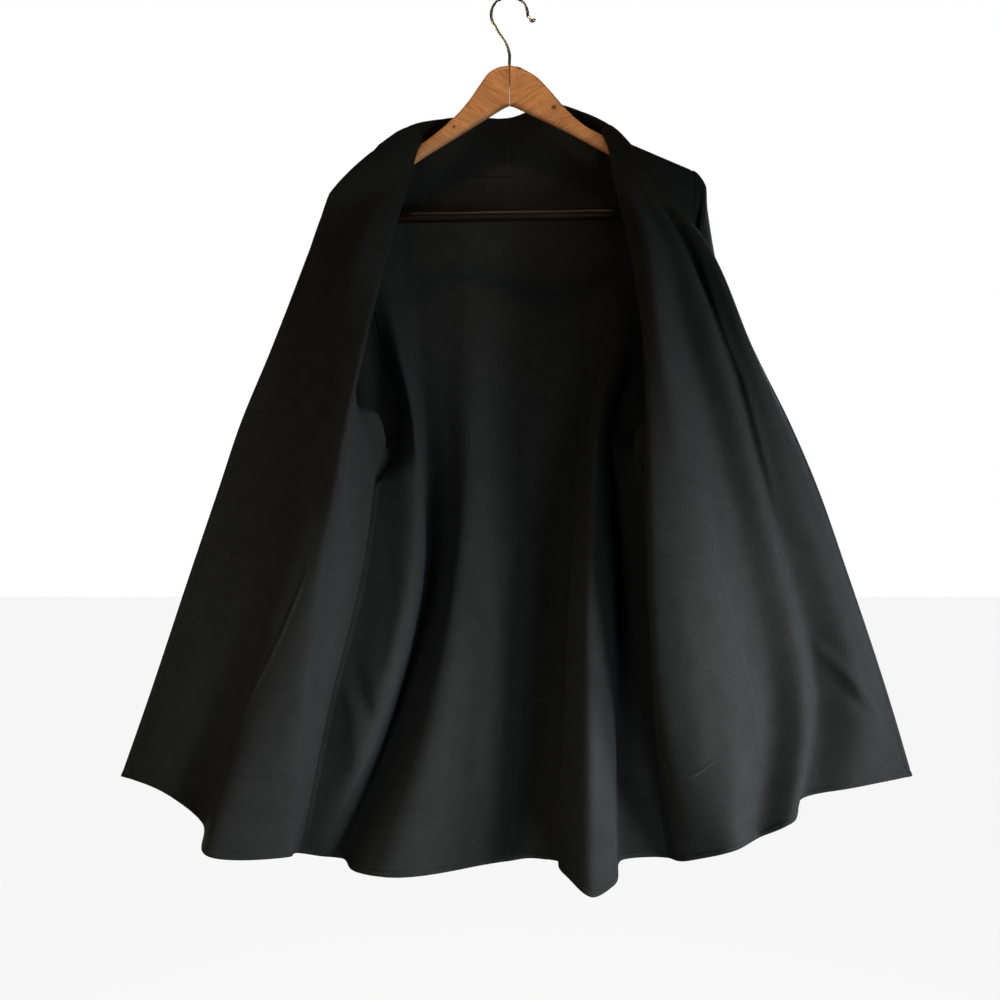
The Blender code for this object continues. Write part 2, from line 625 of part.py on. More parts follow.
def build_hanger(parts, cutters):
    cedar, dark = material("cedar", CEDAR, 0.45), material("dark_wood", DARK_WOOD, 0.5)
    nickel = material("nickel", NICKEL, 0.3, 1.0)
    shank_tool = cutter(rod("shank_hole", (0, SHANK_END - 0.5), (0, -60), WIRE + FIT_GAP, None, cutters, 12))
    tilt = (BAR_ENDS[1][1] - BAR_ENDS[0][1]) / (BAR_ENDS[1][0] - BAR_ENDS[0][0])
    ends = [(x + s * 0.5, z + s * 0.5 * tilt) for (x, z), s in zip(BAR_ENDS, (-1, 1))]
    bar_tool = cutter(rod("bar_hole", *ends, BAR_RADIUS + FIT_GAP, None, cutters, 20))
    for name, profile, line, sign in (("hanger_arm_right", RIGHT_ARM, RIGHT_ARM_TOP, -1),
                                      ("hanger_arm_left", LEFT_ARM, LEFT_ARM_TOP, 1)):
        outline = arm_outline(profile, line, sign)
        arm = flat_outline(name, outline, ARM_THICK, ARM_ROUND, cedar, parts)
        cut(arm, shank_tool)
        cut(arm, bar_tool)
    rod("hanger_bar", *BAR_ENDS, BAR_RADIUS, dark, parts)
    points, radii = hook_path()
    mesh_of(wire("hanger_hook", points, WIRE, nickel, parts, radii), parts).data.shade_smooth()


def build_coat(parts):
    wool, pocketing = material("wool", WOOL, 0.95), material("pocketing", POCKETING, 0.9)
    rows = np.concatenate([LOW_ROWS, HIGH_ROWS])
    sides = {
        "right": (RIGHT_FRONT, RIGHT_NECK, LEFT_NECK, RIGHT_BACK, RIGHT_BACK_TOP, RIGHT_BACK_STEPS, RIGHT_ARM_TOP,
                  RIGHT_SLEEVE, RIGHT_POCKET),
        "left": (LEFT_FRONT, LEFT_NECK, RIGHT_NECK, LEFT_BACK, LEFT_BACK_TOP, LEFT_BACK_STEPS, LEFT_ARM_TOP,
                 LEFT_SLEEVE, LEFT_POCKET),
    }
    fronts, backs = {}, {}
    for side, (front, neck, other, back, top, _, line, _, _) in sides.items():
        table = front_table(front, neck, other, line)
        fronts[side] = fold_curves(table, rows, len(front) - 1)
        table = back_table(back, top, line)
        backs[side] = fold_curves(table, LOW_ROWS, len(back) - 1)
    for side, (front, neck, other, back, top, steps, line, rings, pocket) in sides.items():
        across = "left" if side == "right" else "right"
        panel, roll = front_grid(front, fronts[side], backs[side][:, -2])
        neck_curve = fronts[side][NECK_ROW:, list(front).index("roll")][::-1]
        neck_fold = sum(not isinstance(cells, float) for cells in top.values()) - 1
        behind = back_grid(steps, backs[side], fronts[side][:len(LOW_ROWS), -2], backs[across][:, 1], neck_curve,
                           neck_fold)
        facing = wall(f"front_{side}", panel, wool, parts,
                      is_cloth=lambda r, c, k=roll: c < k or r < NECK_ROW and (c > k or r < NECK_ROW - 1))
        turn = len(neck_curve) - 1
        back_facing = wall(f"back_{side}", behind, wool, parts,
                           is_cloth=lambda r, c, k=turn: r < NECK_ROW - 2 or not k - 2 <= c <= k)
        loop, out = armhole(panel, behind, facing, back_facing)
        wall(f"sleeve_{side}", sleeve_grid(loop, out, rings), wool, parts, ring=True)
        at_fold = places([FRONT_STEPS[name] for name in list(front)[:-1]], end=TIGHT)
        pocket_bag(f"pocket_bag_{side}", panel, facing, at_fold, rows, pocket, pocketing, parts)


def main():
    for thing in list(bpy.data.objects):
        bpy.data.objects.remove(thing)
    parts, cutters = collection("coat_on_hanger"), collection("cutters")
    build_hanger(parts, cutters)
    build_coat(parts)


main()
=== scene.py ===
import math
import bmesh
import bpy
import numpy as np
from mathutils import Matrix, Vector


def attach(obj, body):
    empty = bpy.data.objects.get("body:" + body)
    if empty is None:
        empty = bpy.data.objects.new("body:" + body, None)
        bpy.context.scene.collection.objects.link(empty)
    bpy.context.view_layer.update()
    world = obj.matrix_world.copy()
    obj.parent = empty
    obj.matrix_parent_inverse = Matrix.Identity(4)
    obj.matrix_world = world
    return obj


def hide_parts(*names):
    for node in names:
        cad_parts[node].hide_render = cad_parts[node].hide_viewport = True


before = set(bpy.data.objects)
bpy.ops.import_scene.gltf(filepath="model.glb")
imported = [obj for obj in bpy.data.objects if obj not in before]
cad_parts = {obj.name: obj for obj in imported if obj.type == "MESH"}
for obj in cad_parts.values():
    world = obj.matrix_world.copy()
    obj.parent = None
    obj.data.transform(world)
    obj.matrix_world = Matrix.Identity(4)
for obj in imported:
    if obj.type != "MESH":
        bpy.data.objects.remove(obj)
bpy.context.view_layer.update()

# A long unlined coat of near-black double-faced wool, with no collar, hung wide open on a cedar hanger.
# The hook's inner top is the origin, X runs to the wearer's left, Y away from the viewer and Z up.
# The tables are in millimetres. Each fold of the cloth is a row, each column a level on the coat.

mm = 0.001

# Creases stay away from a seam up to "held" and are whole beyond "loose"
cloth = {"thick": 2.3, "pocketThick": 1.1, "foldWidth": 7.0, "stitchPitch": 6.0, "spacing": 4.2,
         "held": 4, "loose": 30, "thinnest": 0.08, "rim": 0.35}

camera = {"place": (-0.0106, -1.344, -0.562), "lens": 43.2, "sensor": 36.0, "near": 0.05}

# Levels between the hem and the shoulders
levels = {"hip": -800, "waist": -640, "underarm": -545, "armpit": -480, "chest": -400, "yoke": -280}

# The straight upper edge of each hanger arm: across and height of its two ends. The cloth lies on it, and
# "over" and "collar" say how far before or behind the edge its next two levels are, and how far below
restRight = ((-97.0, -162.5), (-180.0, -204.0))
restLeft = ((103.0, -153.0), (203.0, -195.6))
rest = {"lift": 1.8, "over": (9.5, 5.0), "collar": (21.0, 34.0)}


# Shader maths written as plain sums

class Link:
    # one output of a node; sums with it add Math nodes
    def __init__(self, paint, socket):
        self.paint, self.socket = paint, socket

    def math(self, operation, *others):
        # a Math node whose first value is this one
        return self.paint.node("Math", {"operation": operation}, dict(enumerate((self, *others))))

    def __add__(self, other): return self.math("ADD", other)
    def __radd__(self, other): return self.math("ADD", other)
    def __sub__(self, other): return self.math("SUBTRACT", other)
    def __rsub__(self, other): return self.paint.node("Math", {"operation": "SUBTRACT"}, {0: other, 1: self})
    def __mul__(self, other): return self.math("MULTIPLY", other)
    def __rmul__(self, other): return self.math("MULTIPLY", other)
    def __pow__(self, other): return self.math("POWER", other)

    def clamp(self):
        # held between 0 and 1
        return self.paint.node("Clamp", {}, {0: self})

    def below(self, low, high):
        # 1 under low, 0 over high and smooth between
        return self.paint.node("Map Range", {"interpolation_type": "SMOOTHSTEP"},
                               {0: self, 1: low, 2: high, 3: 1.0, 4: 0.0})


class Paint:
    # a material and the nodes that feed its shader
    kinds = {"Math": "ShaderNodeMath", "Clamp": "ShaderNodeClamp", "Map Range": "ShaderNodeMapRange",
             "Noise": "ShaderNodeTexNoise", "Mix": "ShaderNodeMix", "Vector Math": "ShaderNodeVectorMath",
             "Coordinates": "ShaderNodeTexCoord", "Bump": "ShaderNodeBump",
             "Separate": "ShaderNodeSeparateXYZ", "Combine": "ShaderNodeCombineXYZ"}

    def __init__(self, name, **fixed):
        self.material = bpy.data.materials.new(name)
        self.material.use_nodes = True
        self.tree = self.material.node_tree
        self.shader = self.tree.nodes["Principled BSDF"]
        for socket, value in fixed.items():
            self.shader.inputs[socket.replace("_", " ")].default_value = value

    def node(self, kind, settings, values, output=0):
        # the settings come first, because they decide which sockets there are
        made = self.tree.nodes.new(self.kinds[kind])
        for name, value in settings.items():
            setattr(made, name, value)
        for socket, value in values.items():
            self.join(made.inputs[socket], value)
        return Link(self, made.outputs[output])

    def join(self, socket, value):
        # a link from another node, or a fixed value
        if isinstance(value, Link):
            self.tree.links.new(value.socket, socket)
        else:
            socket.default_value = value

    def give(self, **values):
        # links or values for the shader's own sockets
        for name, value in values.items():
            self.join(self.shader.inputs[name.replace("_", " ")], value)

    def colour(self, a, b, share):
        # a x (1 - share) + b x share
        tint = [(*c, 1) if isinstance(c, tuple) else c for c in (a, b)]
        return self.node("Mix", {"data_type": "RGBA"}, {0: share, 6: tint[0], 7: tint[1]}, 2)

    def vector(self, operation, a, b):
        # a Vector Math node on two places
        return self.node("Vector Math", {"operation": operation}, {0: a, 1: b})

    def place(self, kind, stretch):
        # where a point lies on the piece (Object) or on the flat cloth (UV), stretched along each axis
        return self.vector("MULTIPLY", self.node("Coordinates", {}, {}, kind), stretch)

    def noise(self, where, scale, detail=2.0, rough=0.5):
        # soft noise about 0.5
        return self.node("Noise", {}, {"Vector": where, "Scale": scale, "Detail": detail, "Roughness": rough})

    def grain(self, along, across, layer, detail, rough):
        # noise on two drawn-out directions; each layer is another slice of it
        return self.noise(self.node("Combine", {}, {0: along, 1: across, 2: layer}), 1.0, detail, rough)

    def bump(self, height, strength, distance):
        # the height gives small relief, over a distance in metres
        return self.node("Bump", {}, {"Height": height, "Strength": strength, "Distance": distance})


woolLook = {"colour": (0.0078, 0.0071, 0.0060), "napColour": (0.0162, 0.0150, 0.0132), "roughness": 0.95,
            "sheen": 0.012, "sheenRoughness": 0.7, "sheenTint": (0.80, 0.86, 1.0, 1),
            "napWide": 1.3, "napLong": 3.0, "napDeep": 0.7, "napShare": 0.4,
            "fibres": 2.6, "felt": 2.6, "mottle": 0.8, "brushed": 0.7}


def woolPaint(name, look):
    # brushed wool: short fibres that lie down the cloth, felted grain between them, soft mottling and broad
    # brushed bands; the pale nap's share is the sum of the four about their mean, each with its weight
    paint = Paint(name, Sheen_Weight=look["sheen"], Sheen_Roughness=look["sheenRoughness"],
                  Sheen_Tint=look["sheenTint"], Specular_IOR_Level=0.10)
    flat = paint.place("UV", (1000, 1000, 0))
    nap = paint.vector("MULTIPLY", flat, (1 / look["napWide"], 1 / look["napLong"], 0))
    fibres = paint.noise(nap, 1.0, 4.0, 0.62)
    felt = paint.noise(flat, 0.5, 4.0, 0.7)
    mottle = paint.noise(flat, 0.045, 4.0, 0.55)
    brushed = paint.noise(paint.vector("MULTIPLY", flat, (0.02, 0.006, 0)), 1.0, 3.0, 0.5)
    share = ((fibres - 0.5) * look["fibres"] + (felt - 0.5) * look["felt"]
             + (mottle - 0.5) * look["mottle"] + (brushed - 0.5) * look["brushed"] + look["napShare"])
    paint.give(Base_Color=paint.colour(look["colour"], look["napColour"], share.clamp()),
               Roughness=(0.5 - mottle) * 0.16 + look["roughness"],
               Normal=paint.bump(fibres * 0.6 + felt * 0.6 + mottle * 0.5, look["napDeep"], 0.0009))
    return paint.material


cedarLook = {"pale": (0.80, 0.34, 0.125), "dark": (0.40, 0.125, 0.040), "knot": (0.075, 0.022, 0.010),
             "ring": 3.1, "swirl": 15.0, "slope": 0.62,
             "knots": ((11.0, -79.5, 2.4), (49.5, -124.0, 2.7), (-62.0, -146.0, 1.6))}


def cedarPaint(name, look, side):
    # growth rings drawn out along the arm, which swirl round the knots; paler streaks and fine pores
    paint = Paint(name, Specular_IOR_Level=0.42, Coat_Roughness=0.3)
    place = paint.place("Object", (1000, 1000, 1000))
    x, z = (paint.node("Separate", {}, {0: place}, axis) for axis in "XZ")
    slope = side * look["slope"]
    along = (x - z * slope) * 0.82
    across = z * 0.85 + x * slope * 0.85
    rings = across + paint.grain(along * 0.012, across * 0.10, 0.0, 3.0, 0.55) * 26.0
    dark = None
    for kx, kz, size in look["knots"]:
        away = ((x - kx) ** 2.0 + (z - kz) ** 2.0) ** 0.5
        near = (away * (-1 / (size * 3.2))).math("EXPONENT")
        rings = rings + near * look["swirl"]
        spot = away.below(size * 0.55, size * 1.5)
        dark = spot if dark is None else dark.math("MAXIMUM", spot)
    wave = (rings * (2 * math.pi / look["ring"])).math("SINE") * 0.5 + 0.5
    streak = paint.grain(along * 0.010, across * 0.55, 3.0, 4.0, 0.6)
    pores = paint.grain(along * 0.16, across * 2.6, 7.0, 2.0, 0.7)
    broad = paint.grain(along * 0.02, across * 0.05, 1.0, 2.0, 0.5)
    share = (wave ** 2.2) * 0.42 + (streak - 0.5) * 1.1 + (broad - 0.5) * 0.9 + 0.22
    wood = paint.colour(look["pale"], look["dark"], share.clamp())
    wood = paint.colour(wood, look["knot"], dark * 0.85)
    height = wave * 0.25 + pores * 0.5 + streak * 0.3
    paint.give(Base_Color=wood, Roughness=(pores - 0.5) * 0.25 + 0.46, Normal=paint.bump(height, 0.28, 0.0004))
    return paint.material


barLook = {"dark": (0.007, 0.0030, 0.0018), "warm": (0.020, 0.0078, 0.0042)}


def barPaint(name, look):
    # stained rod with its grain along X
    paint = Paint(name, Specular_IOR_Level=0.14)
    grain = paint.noise(paint.place("Object", (8.0, 900.0, 900.0)), 1.0, 3.0, 0.6)
    paint.give(Base_Color=paint.colour(look["dark"], look["warm"], ((grain - 0.4) * 2.2).clamp()),
               Roughness=(grain - 0.5) * 0.2 + 0.4, Normal=paint.bump(grain, 0.2, 0.0003))
    return paint.material


wireLook = {"colour": (0.62, 0.60, 0.56), "scuffed": (0.42, 0.40, 0.37)}


def wirePaint(name, look):
    # plated wire, a little scuffed where it slides on rails
    paint = Paint(name, Metallic=1.0)
    scuff = paint.noise(paint.place("Object", (160, 160, 160)), 1.0, 4.0, 0.6)
    fine = paint.noise(paint.place("Object", (2600, 2600, 900)), 1.0, 2.0, 0.6)
    paint.give(Base_Color=paint.colour(look["colour"], look["scuffed"], ((scuff - 0.5) * 2.4).clamp()),
               Roughness=(scuff - 0.5) * 0.3 + 0.27, Normal=paint.bump(fine, 0.08, 0.0001))
    return paint.material


threadLook = {"colour": (0.006, 0.006, 0.006), "pale": (0.016, 0.016, 0.016)}


def threadPaint(name, look):
    # spun thread, paler in places at random
    paint = Paint(name, Sheen_Weight=0.02, Specular_IOR_Level=0.12)
    ply = paint.noise(paint.place("Object", (3000, 3000, 3000)), 1.0, 2.0, 0.5)
    paint.give(Base_Color=paint.colour(look["colour"], look["pale"], ply), Roughness=ply * 0.2 + 0.6)
    return paint.material


# Smooth surfaces through the folds

def through(points, at):
    # cubic pieces between given points, with tangents from the chord lengths either side
    step = np.diff(points, axis=-2)
    chord = np.linalg.norm(step, axis=-1)[..., None]
    slope = step / chord
    tangent = np.empty_like(points)
    before, after = chord[..., :-1, :], chord[..., 1:, :]
    tangent[..., 1:-1, :] = (slope[..., :-1, :] * after + slope[..., 1:, :] * before) / (before + after)
    tangent[..., 0, :] = 1.5 * slope[..., 0, :] - 0.5 * tangent[..., 1, :]
    tangent[..., -1, :] = 1.5 * slope[..., -1, :] - 0.5 * tangent[..., -2, :]
    first = np.clip(np.floor(at).astype(int), 0, points.shape[-2] - 2)
    s = (at - first)[:, None]
    a, b, length = points[..., first, :], points[..., first + 1, :], chord[..., first, :]
    leave, arrive = tangent[..., first, :] * length, tangent[..., first + 1, :] * length
    value = a * (2 * s**3 - 3 * s**2 + 1) + b * (3 * s**2 - 2 * s**3)
    return value + leave * (s**3 - 2 * s**2 + s) + arrive * (s**3 - s**2)


def foldCurves(table, at, side, corner=3):
    # each fold's curve up the coat; the side's line turns sharply at the underarm
    curves = through(np.swapaxes(table, 0, 1), at)
    line = table[:, side]
    curves[side] = np.vstack([through(line[:corner + 1], at[at <= corner]),
                              through(line[corner:], at[at > corner] - corner)])
    return np.swapaxes(curves, 0, 1)


def turnedThrough(curves, at, corner, sharpness):
    # a surface through the curves, with a sharp turn at one of them as far as each row is told
    smooth = through(curves, at)
    sharp = np.concatenate([through(curves[:, :corner + 1], at[at <= corner]),
                            through(curves[:, corner:], at[at > corner] - corner)], axis=1)
    return smooth + sharpness[:, None, None] * (sharp - smooth)


# Distances from an edge at which the rim, the fold and its line of stitches need points
nearEdge = np.array([0.0, 0.35, 0.9, 1.6, 2.6, 3.8, 5.0, 6.0, 6.6, 7.2, 7.8, 8.8, 10.4])


def spacedPlaces(lengths, spacing, start=True, end=True):
    # places along a row of intervals of the given lengths, closer together beside its two ends
    at = np.concatenate([[0.0], *(k + np.arange(1, n + 1) / n
                                  for k, n in enumerate(max(2, round(x / spacing)) for x in lengths))])
    if start:
        near = nearEdge / lengths[0]
        at = np.concatenate([near, at[at > near[-1] + 2.0 / lengths[0]]])
    if end:
        near = len(lengths) - nearEdge[::-1] / lengths[-1]
        at = np.concatenate([at[at < near[0] - 2.0 / lengths[-1]], near])
    return at


def onArm(across, line, depth=0.0, drop=0.0):
    # the middle of the cloth where it rests on an arm's straight upper edge
    (x0, z0), (x1, z1) = line
    rise = rest["lift"] * math.hypot(x1 - x0, z1 - z0) / abs(x1 - x0)
    return (across, depth, z0 + (across - x0) * (z1 - z0) / (x1 - x0) + rise - drop)


def lowerRows(folds):
    # the hem, whose height each fold gives for itself, and the levels above it
    rows = [[fold[0] for fold in folds.values()]]
    return rows + [[(*fold[k + 1], height) for fold in folds.values()] for k, height in enumerate(levels.values())]


def neckStrip(roll, edge, swell, count):
    # straight from the roll line to the free edge, plus half a sine of swell
    share = np.linspace(1.0, 0.0, count)[:, None]
    roll, edge = np.array(roll, float), np.array(edge, float)
    return roll + share * (edge - roll) + np.sin(math.pi * share) * np.array(swell, float)


def underNeckband(strip):
    # two places below the neckband's seam, which only steer its curve
    return strip[-1] + np.array([(0.0, 2.0, -20.0), (0.0, 5.0, -60.0)])


def frontTable(folds, neck, otherNeck, line):
    # every level of a front, and one past the centre back so that the neckband runs smoothly through it
    count, shoulder = len(folds) - 2, line[1][0]
    middle = (line[0][0] + shoulder) / 2
    (reach, drop), (collarReach, collarDrop) = rest["over"], rest["collar"]
    ride = {"collar": (-collarReach, collarDrop), "over": (-reach, drop), "neck": (0.0, 0.0),
            "behind": (reach, drop)}
    rows = lowerRows(folds)
    for level, (roll, edge, swell) in neck.items():
        strip = neckStrip(roll, edge, swell, count)
        beyond = underNeckband(strip)
        if level in ride:
            beyond = [onArm(x, line, *ride[level]) for x in (middle, shoulder)]
        rows.append(np.vstack([strip, beyond]))
    strip = neckStrip(*otherNeck["half"], count)
    rows.append(np.vstack([strip, underNeckband(strip)]))
    return np.array([np.array(row, float) for row in rows])


def backTable(folds, top, line):
    # every level of a back half, and one past its top edge; a top cell that is one number rests on the arm
    (reach, drop), (collarReach, collarDrop) = rest["over"], rest["collar"]
    rows = lowerRows(folds)
    for k, ride in enumerate(((collarReach, collarDrop), (reach, drop), (0.0, 0.0), (-reach, drop))):
        row = []
        for cell in top.values():
            if isinstance(cell, float):
                row.append(onArm(cell, line, *ride))
            elif k < 3:
                row.append(cell[k])
            elif cell[2][1] == 0:
                row.append(onArm(cell[2][0], line, *ride))
            else:
                row.append((cell[2][0], cell[2][1] - 1, cell[2][2] + 20))
        rows.append(row)
    return np.array(rows, float)


# Rows shared by every panel: nine intervals up to the shoulder seam and four more round the neck
lowLengths = (172, 162, 96, 68, 82, 122, 82, 42, 14)
highLengths = (14, 22, 42, 48)
lowRows = spacedPlaces(lowLengths, cloth["spacing"], end=False)
highRows = len(lowLengths) + spacedPlaces(highLengths, cloth["spacing"], start=False)[1:]
allRows = np.concatenate([lowRows, highRows])
underarmRow = int(np.searchsorted(lowRows, 3.0))
neckRow = len(lowRows) - 1

# How sharply the cloth turns at each level: the roll line of a front and the neckband's seam on a back, and
# how far a back's neck edge follows the neckband
turns = {"roll": (0, 0, 0, 0, 0, 0, 0, 1, 1, 1, 1, 0, 0, 0), "back": (0, 0, 0, 0, 0, 0, 0, 0, 1, 1),
         "followAt": (6, 6.5, 7, 8, 8.5, 8.94, 9), "follow": (0, 0.2, 0.4, 0.6, 0.8, 1, 1)}


def withNeighbour(curves, beyond):
    # one curve past the side: the sewn neighbour's where there is one, else straight on
    past = 2 * curves[:, -1] - curves[:, -2]
    seam = slice(0, underarmRow + 1)
    past[seam] = beyond[seam]
    return np.concatenate([curves, past[:, None]], axis=1)


def shares(curve):
    # the part of a curve's length walked at each of its points
    length = np.concatenate([[0.0], np.cumsum(np.linalg.norm(np.diff(curve, axis=0), axis=1))])
    return length / length[-1]


def runs(grid, axis):
    # distance walked along one direction of a grid, from its first line
    step = np.linalg.norm(np.diff(grid, axis=axis), axis=2)
    start = np.zeros_like(np.take(step, [0], axis=axis))
    return np.concatenate([start, np.cumsum(step, axis=axis)], axis=axis)


def facing(grid, ring=False):
    # unit normals: the cross product of the two directions of the grid
    if ring:
        wide = np.concatenate([grid[:, -1:], grid, grid[:, :1]], axis=1)
        across = (wide[:, 2:] - wide[:, :-2])
    else:
        across = np.gradient(grid, axis=1)
    normal = np.cross(across, np.gradient(grid, axis=0))
    return normal / np.maximum(np.linalg.norm(normal, axis=2), 1e-9)[..., None]


def smooth(value, low, high):
    # 0 under low, 1 over high and 3 t^2 - 2 t^3 between
    t = np.clip((value - low) / (high - low), 0, 1)
    return t * t * (3 - 2 * t)


def bell(value, width):
    # e to the minus (value / width) squared
    return np.exp(-(value / width) ** 2)


def alongPath(across, up, path):
    # distance from each place of a flat piece to a bent line, and how far along it the nearest point lies
    best, share = np.full(across.shape, 1e9), np.zeros(across.shape)
    for k, ((x0, y0), (x1, y1)) in enumerate(zip(path[:-1], path[1:])):
        dx, dy = x1 - x0, y1 - y0
        t = np.clip(((across - x0) * dx + (up - y0) * dy) / (dx * dx + dy * dy), 0, 1)
        away = np.hypot(across - x0 - t * dx, up - y0 - t * dy)
        closer = away < best
        best = np.where(closer, away, best)
        share = np.where(closer, (k + t) / (len(path) - 1), share)
    return best, share


endFade = 0.25  # the share of a crease's length that fades at each end


def creased(grid, normal, atFold, atLevel, creases, held):
    # troughs and ridges: a bell across each line, which fades at its ends and at the sewn seams
    across, up = runs(grid, 1), runs(grid, 0)
    lift = np.zeros(across.shape)
    for crease in creases:
        path = []
        for fold, level in crease["path"]:
            c, r = np.searchsorted(atFold, fold), np.searchsorted(atLevel, level)
            c, r = min(c, across.shape[1] - 1), min(r, across.shape[0] - 1)
            path.append((across[r, c], up[r, c]))
        away, share = alongPath(across, up, path)
        fade = smooth(share, 0, endFade) * smooth(1 - share, 0, endFade)
        lift += crease["deep"] * bell(away, crease["wide"]) * fade
    return grid + normal * (lift * held)[..., None]


# Cloth panels with two faces, sewn and felled edges

def faceSet(rows, columns, cells, ring):
    # the corners of each cell that is cloth, and the outline's edges in order round each cell
    here = (np.arange(rows - 1)[:, None] * columns + np.arange(columns)[None, :])
    over = (np.arange(rows - 1)[:, None] * columns + (np.arange(columns) + 1)[None, :] % columns)
    quads = np.stack([here, over, over + columns, here + columns], axis=2)
    if not ring:
        quads, cells = quads[:, :-1], cells[:, :columns - 1]
    quads = quads[cells]
    sides = np.concatenate([quads[:, [k, (k + 1) % 4]] for k in range(4)])
    key = np.sort(sides, axis=1) @ np.array([rows * columns, 1])
    _, index, count = np.unique(key, return_index=True, return_counts=True)
    return quads, sides[index[count == 1]]


def clothPiece(name, grid, normal, front, back, paint, cells=None, ring=False):
    # two faces set off from the middle surface by front and back, joined round the outline by a rounded rim
    rows, columns = grid.shape[:2]
    if cells is None:
        cells = np.ones((rows - 1, columns), bool)
    quads, outline = faceSet(rows, columns, cells, ring)
    count = rows * columns
    rim = np.unique(outline)
    rimNumber = np.full(count, -1)
    rimNumber[rim] = np.arange(len(rim))
    flatGrid, flatNormal = grid.reshape(-1, 3), normal.reshape(-1, 3)
    one = flatGrid + flatNormal * front.reshape(-1, 1)
    two = flatGrid - flatNormal * back.reshape(-1, 1)
    outward = flatGrid[rim] - centreOf(flatGrid, quads, rim)
    outward /= np.maximum(np.linalg.norm(outward, axis=1), 1e-9)[:, None]
    middle = (one[rim] + two[rim]) / 2 + outward * cloth["rim"]
    points = np.vstack([one, two, middle]) * mm
    a, b = outline[:, 0], outline[:, 1]
    ra, rb = rimNumber[a] + 2 * count, rimNumber[b] + 2 * count
    faces = np.vstack([quads, quads[:, ::-1] + count, np.stack([b, a, ra, rb], axis=1),
                       np.stack([rb, ra, a + count, b + count], axis=1)])
    used = np.zeros(len(points), bool)
    used[faces] = True
    number = np.cumsum(used) - 1
    flat = np.stack([runs(grid, 1), runs(grid, 0)], axis=2).reshape(-1, 2) * mm
    flat = np.vstack([flat, flat, flat[rim]])[used]
    return meshPiece(name, points[used], number[faces].tolist(), paint, flat)


def centreOf(points, quads, rim):
    # the mean of the cells around each point, which lies inwards of the outline
    total, weight = np.zeros_like(points), np.zeros(len(points))
    middles = points[quads].mean(axis=1)
    for k in range(4):
        np.add.at(total, quads[:, k], middles)
        np.add.at(weight, quads[:, k], 1)
    return total[rim] / np.maximum(weight[rim], 1)[:, None]


def meshPiece(name, points, faces, paint, flat=None):
    # a smooth closed mesh whose faces point outwards, with the flat cloth's places where they are given
    mesh = bpy.data.meshes.new(name)
    mesh.from_pydata(points.tolist(), [], faces)
    if flat is not None:
        corner = np.empty(len(mesh.loops), np.int32)
        mesh.loops.foreach_get("vertex_index", corner)
        mesh.uv_layers.new(name="cloth").data.foreach_set("uv", flat[corner].ravel())
    mesh.materials.append(paint)
    mesh.shade_smooth()
    work = bmesh.new()
    work.from_mesh(mesh)
    bmesh.ops.recalc_face_normals(work, faces=work.faces)
    work.to_mesh(mesh)
    work.free()
    piece = bpy.data.objects.new(name, mesh)
    bpy.context.scene.collection.objects.link(piece)
    return piece


def halfArea(piece):
    # half of a thin closed piece's surface, which is the area of its cloth
    mesh = piece.data
    areas = np.empty(len(mesh.polygons))
    mesh.polygons.foreach_get("area", areas)
    return float(areas.sum() / 2)


def flatSize(piece):
    # how far the flat cloth reaches across and along
    flat = np.empty(len(piece.data.loops) * 2)
    piece.data.uv_layers["cloth"].data.foreach_get("uv", flat)
    return [float(reach) for reach in np.ptp(flat.reshape(-1, 2), axis=0)]


# Pairs are for the front face and the back face
felledWork = {"rise": (0.70, 0.40), "sink": (0.85, 0.55), "lineAt": 0.3, "lineWide": 1.2, "soft": 0.8, "round": 1.3}
seamWork = {"nip": (0.75, 0.60), "nipWide": 1.3, "ridge": 0.30, "ridgeAt": 3.4, "ridgeWide": 2.2,
            "stitch": 0.34, "stitchWide": 0.9}


def edgeWork(kinds, away, run):
    # how far the two faces stand off the middle: thicker over a turned-in edge, sunk along its felling
    # stitches, dimpled at each stitch, and nipped in at a sewn seam
    front, back = (np.full(away[0].shape, cloth["thick"] / 2) for _ in range(2))
    fold, felled, sewn = cloth["foldWidth"], felledWork, seamWork
    for kind, distance, along in zip(kinds, away, run):
        wave = np.cos(2 * math.pi * along / cloth["stitchPitch"])
        if kind == "felled":
            turned = 1 - smooth(distance, fold - felled["soft"], fold + felled["soft"])
            rounded = np.sqrt(np.clip(1 - (1 - np.clip(distance / felled["round"], 0, 1)) ** 2, 0.02, 1))
            sunk = bell(distance - fold - felled["lineAt"], felled["lineWide"])
            dimple = 0.55 + 0.45 * wave
            front, back = ((face + rise * turned - sink * sunk * dimple) * rounded
                           for face, rise, sink in zip((front, back), felled["rise"], felled["sink"]))
        else:
            nip = bell(distance, sewn["nipWide"])
            ridge = bell(distance - sewn["ridgeAt"], sewn["ridgeWide"])
            dimple = 0.6 + 0.4 * wave
            front = (front - sewn["nip"][0] * nip + sewn["ridge"] * ridge
                     - sewn["stitch"] * bell(distance - fold, sewn["stitchWide"]) * dimple)
            back = back - sewn["nip"][1] * nip
    return np.maximum(front, cloth["thinnest"]), np.maximum(back, cloth["thinnest"])


# The wearer's right front, on the photo's left

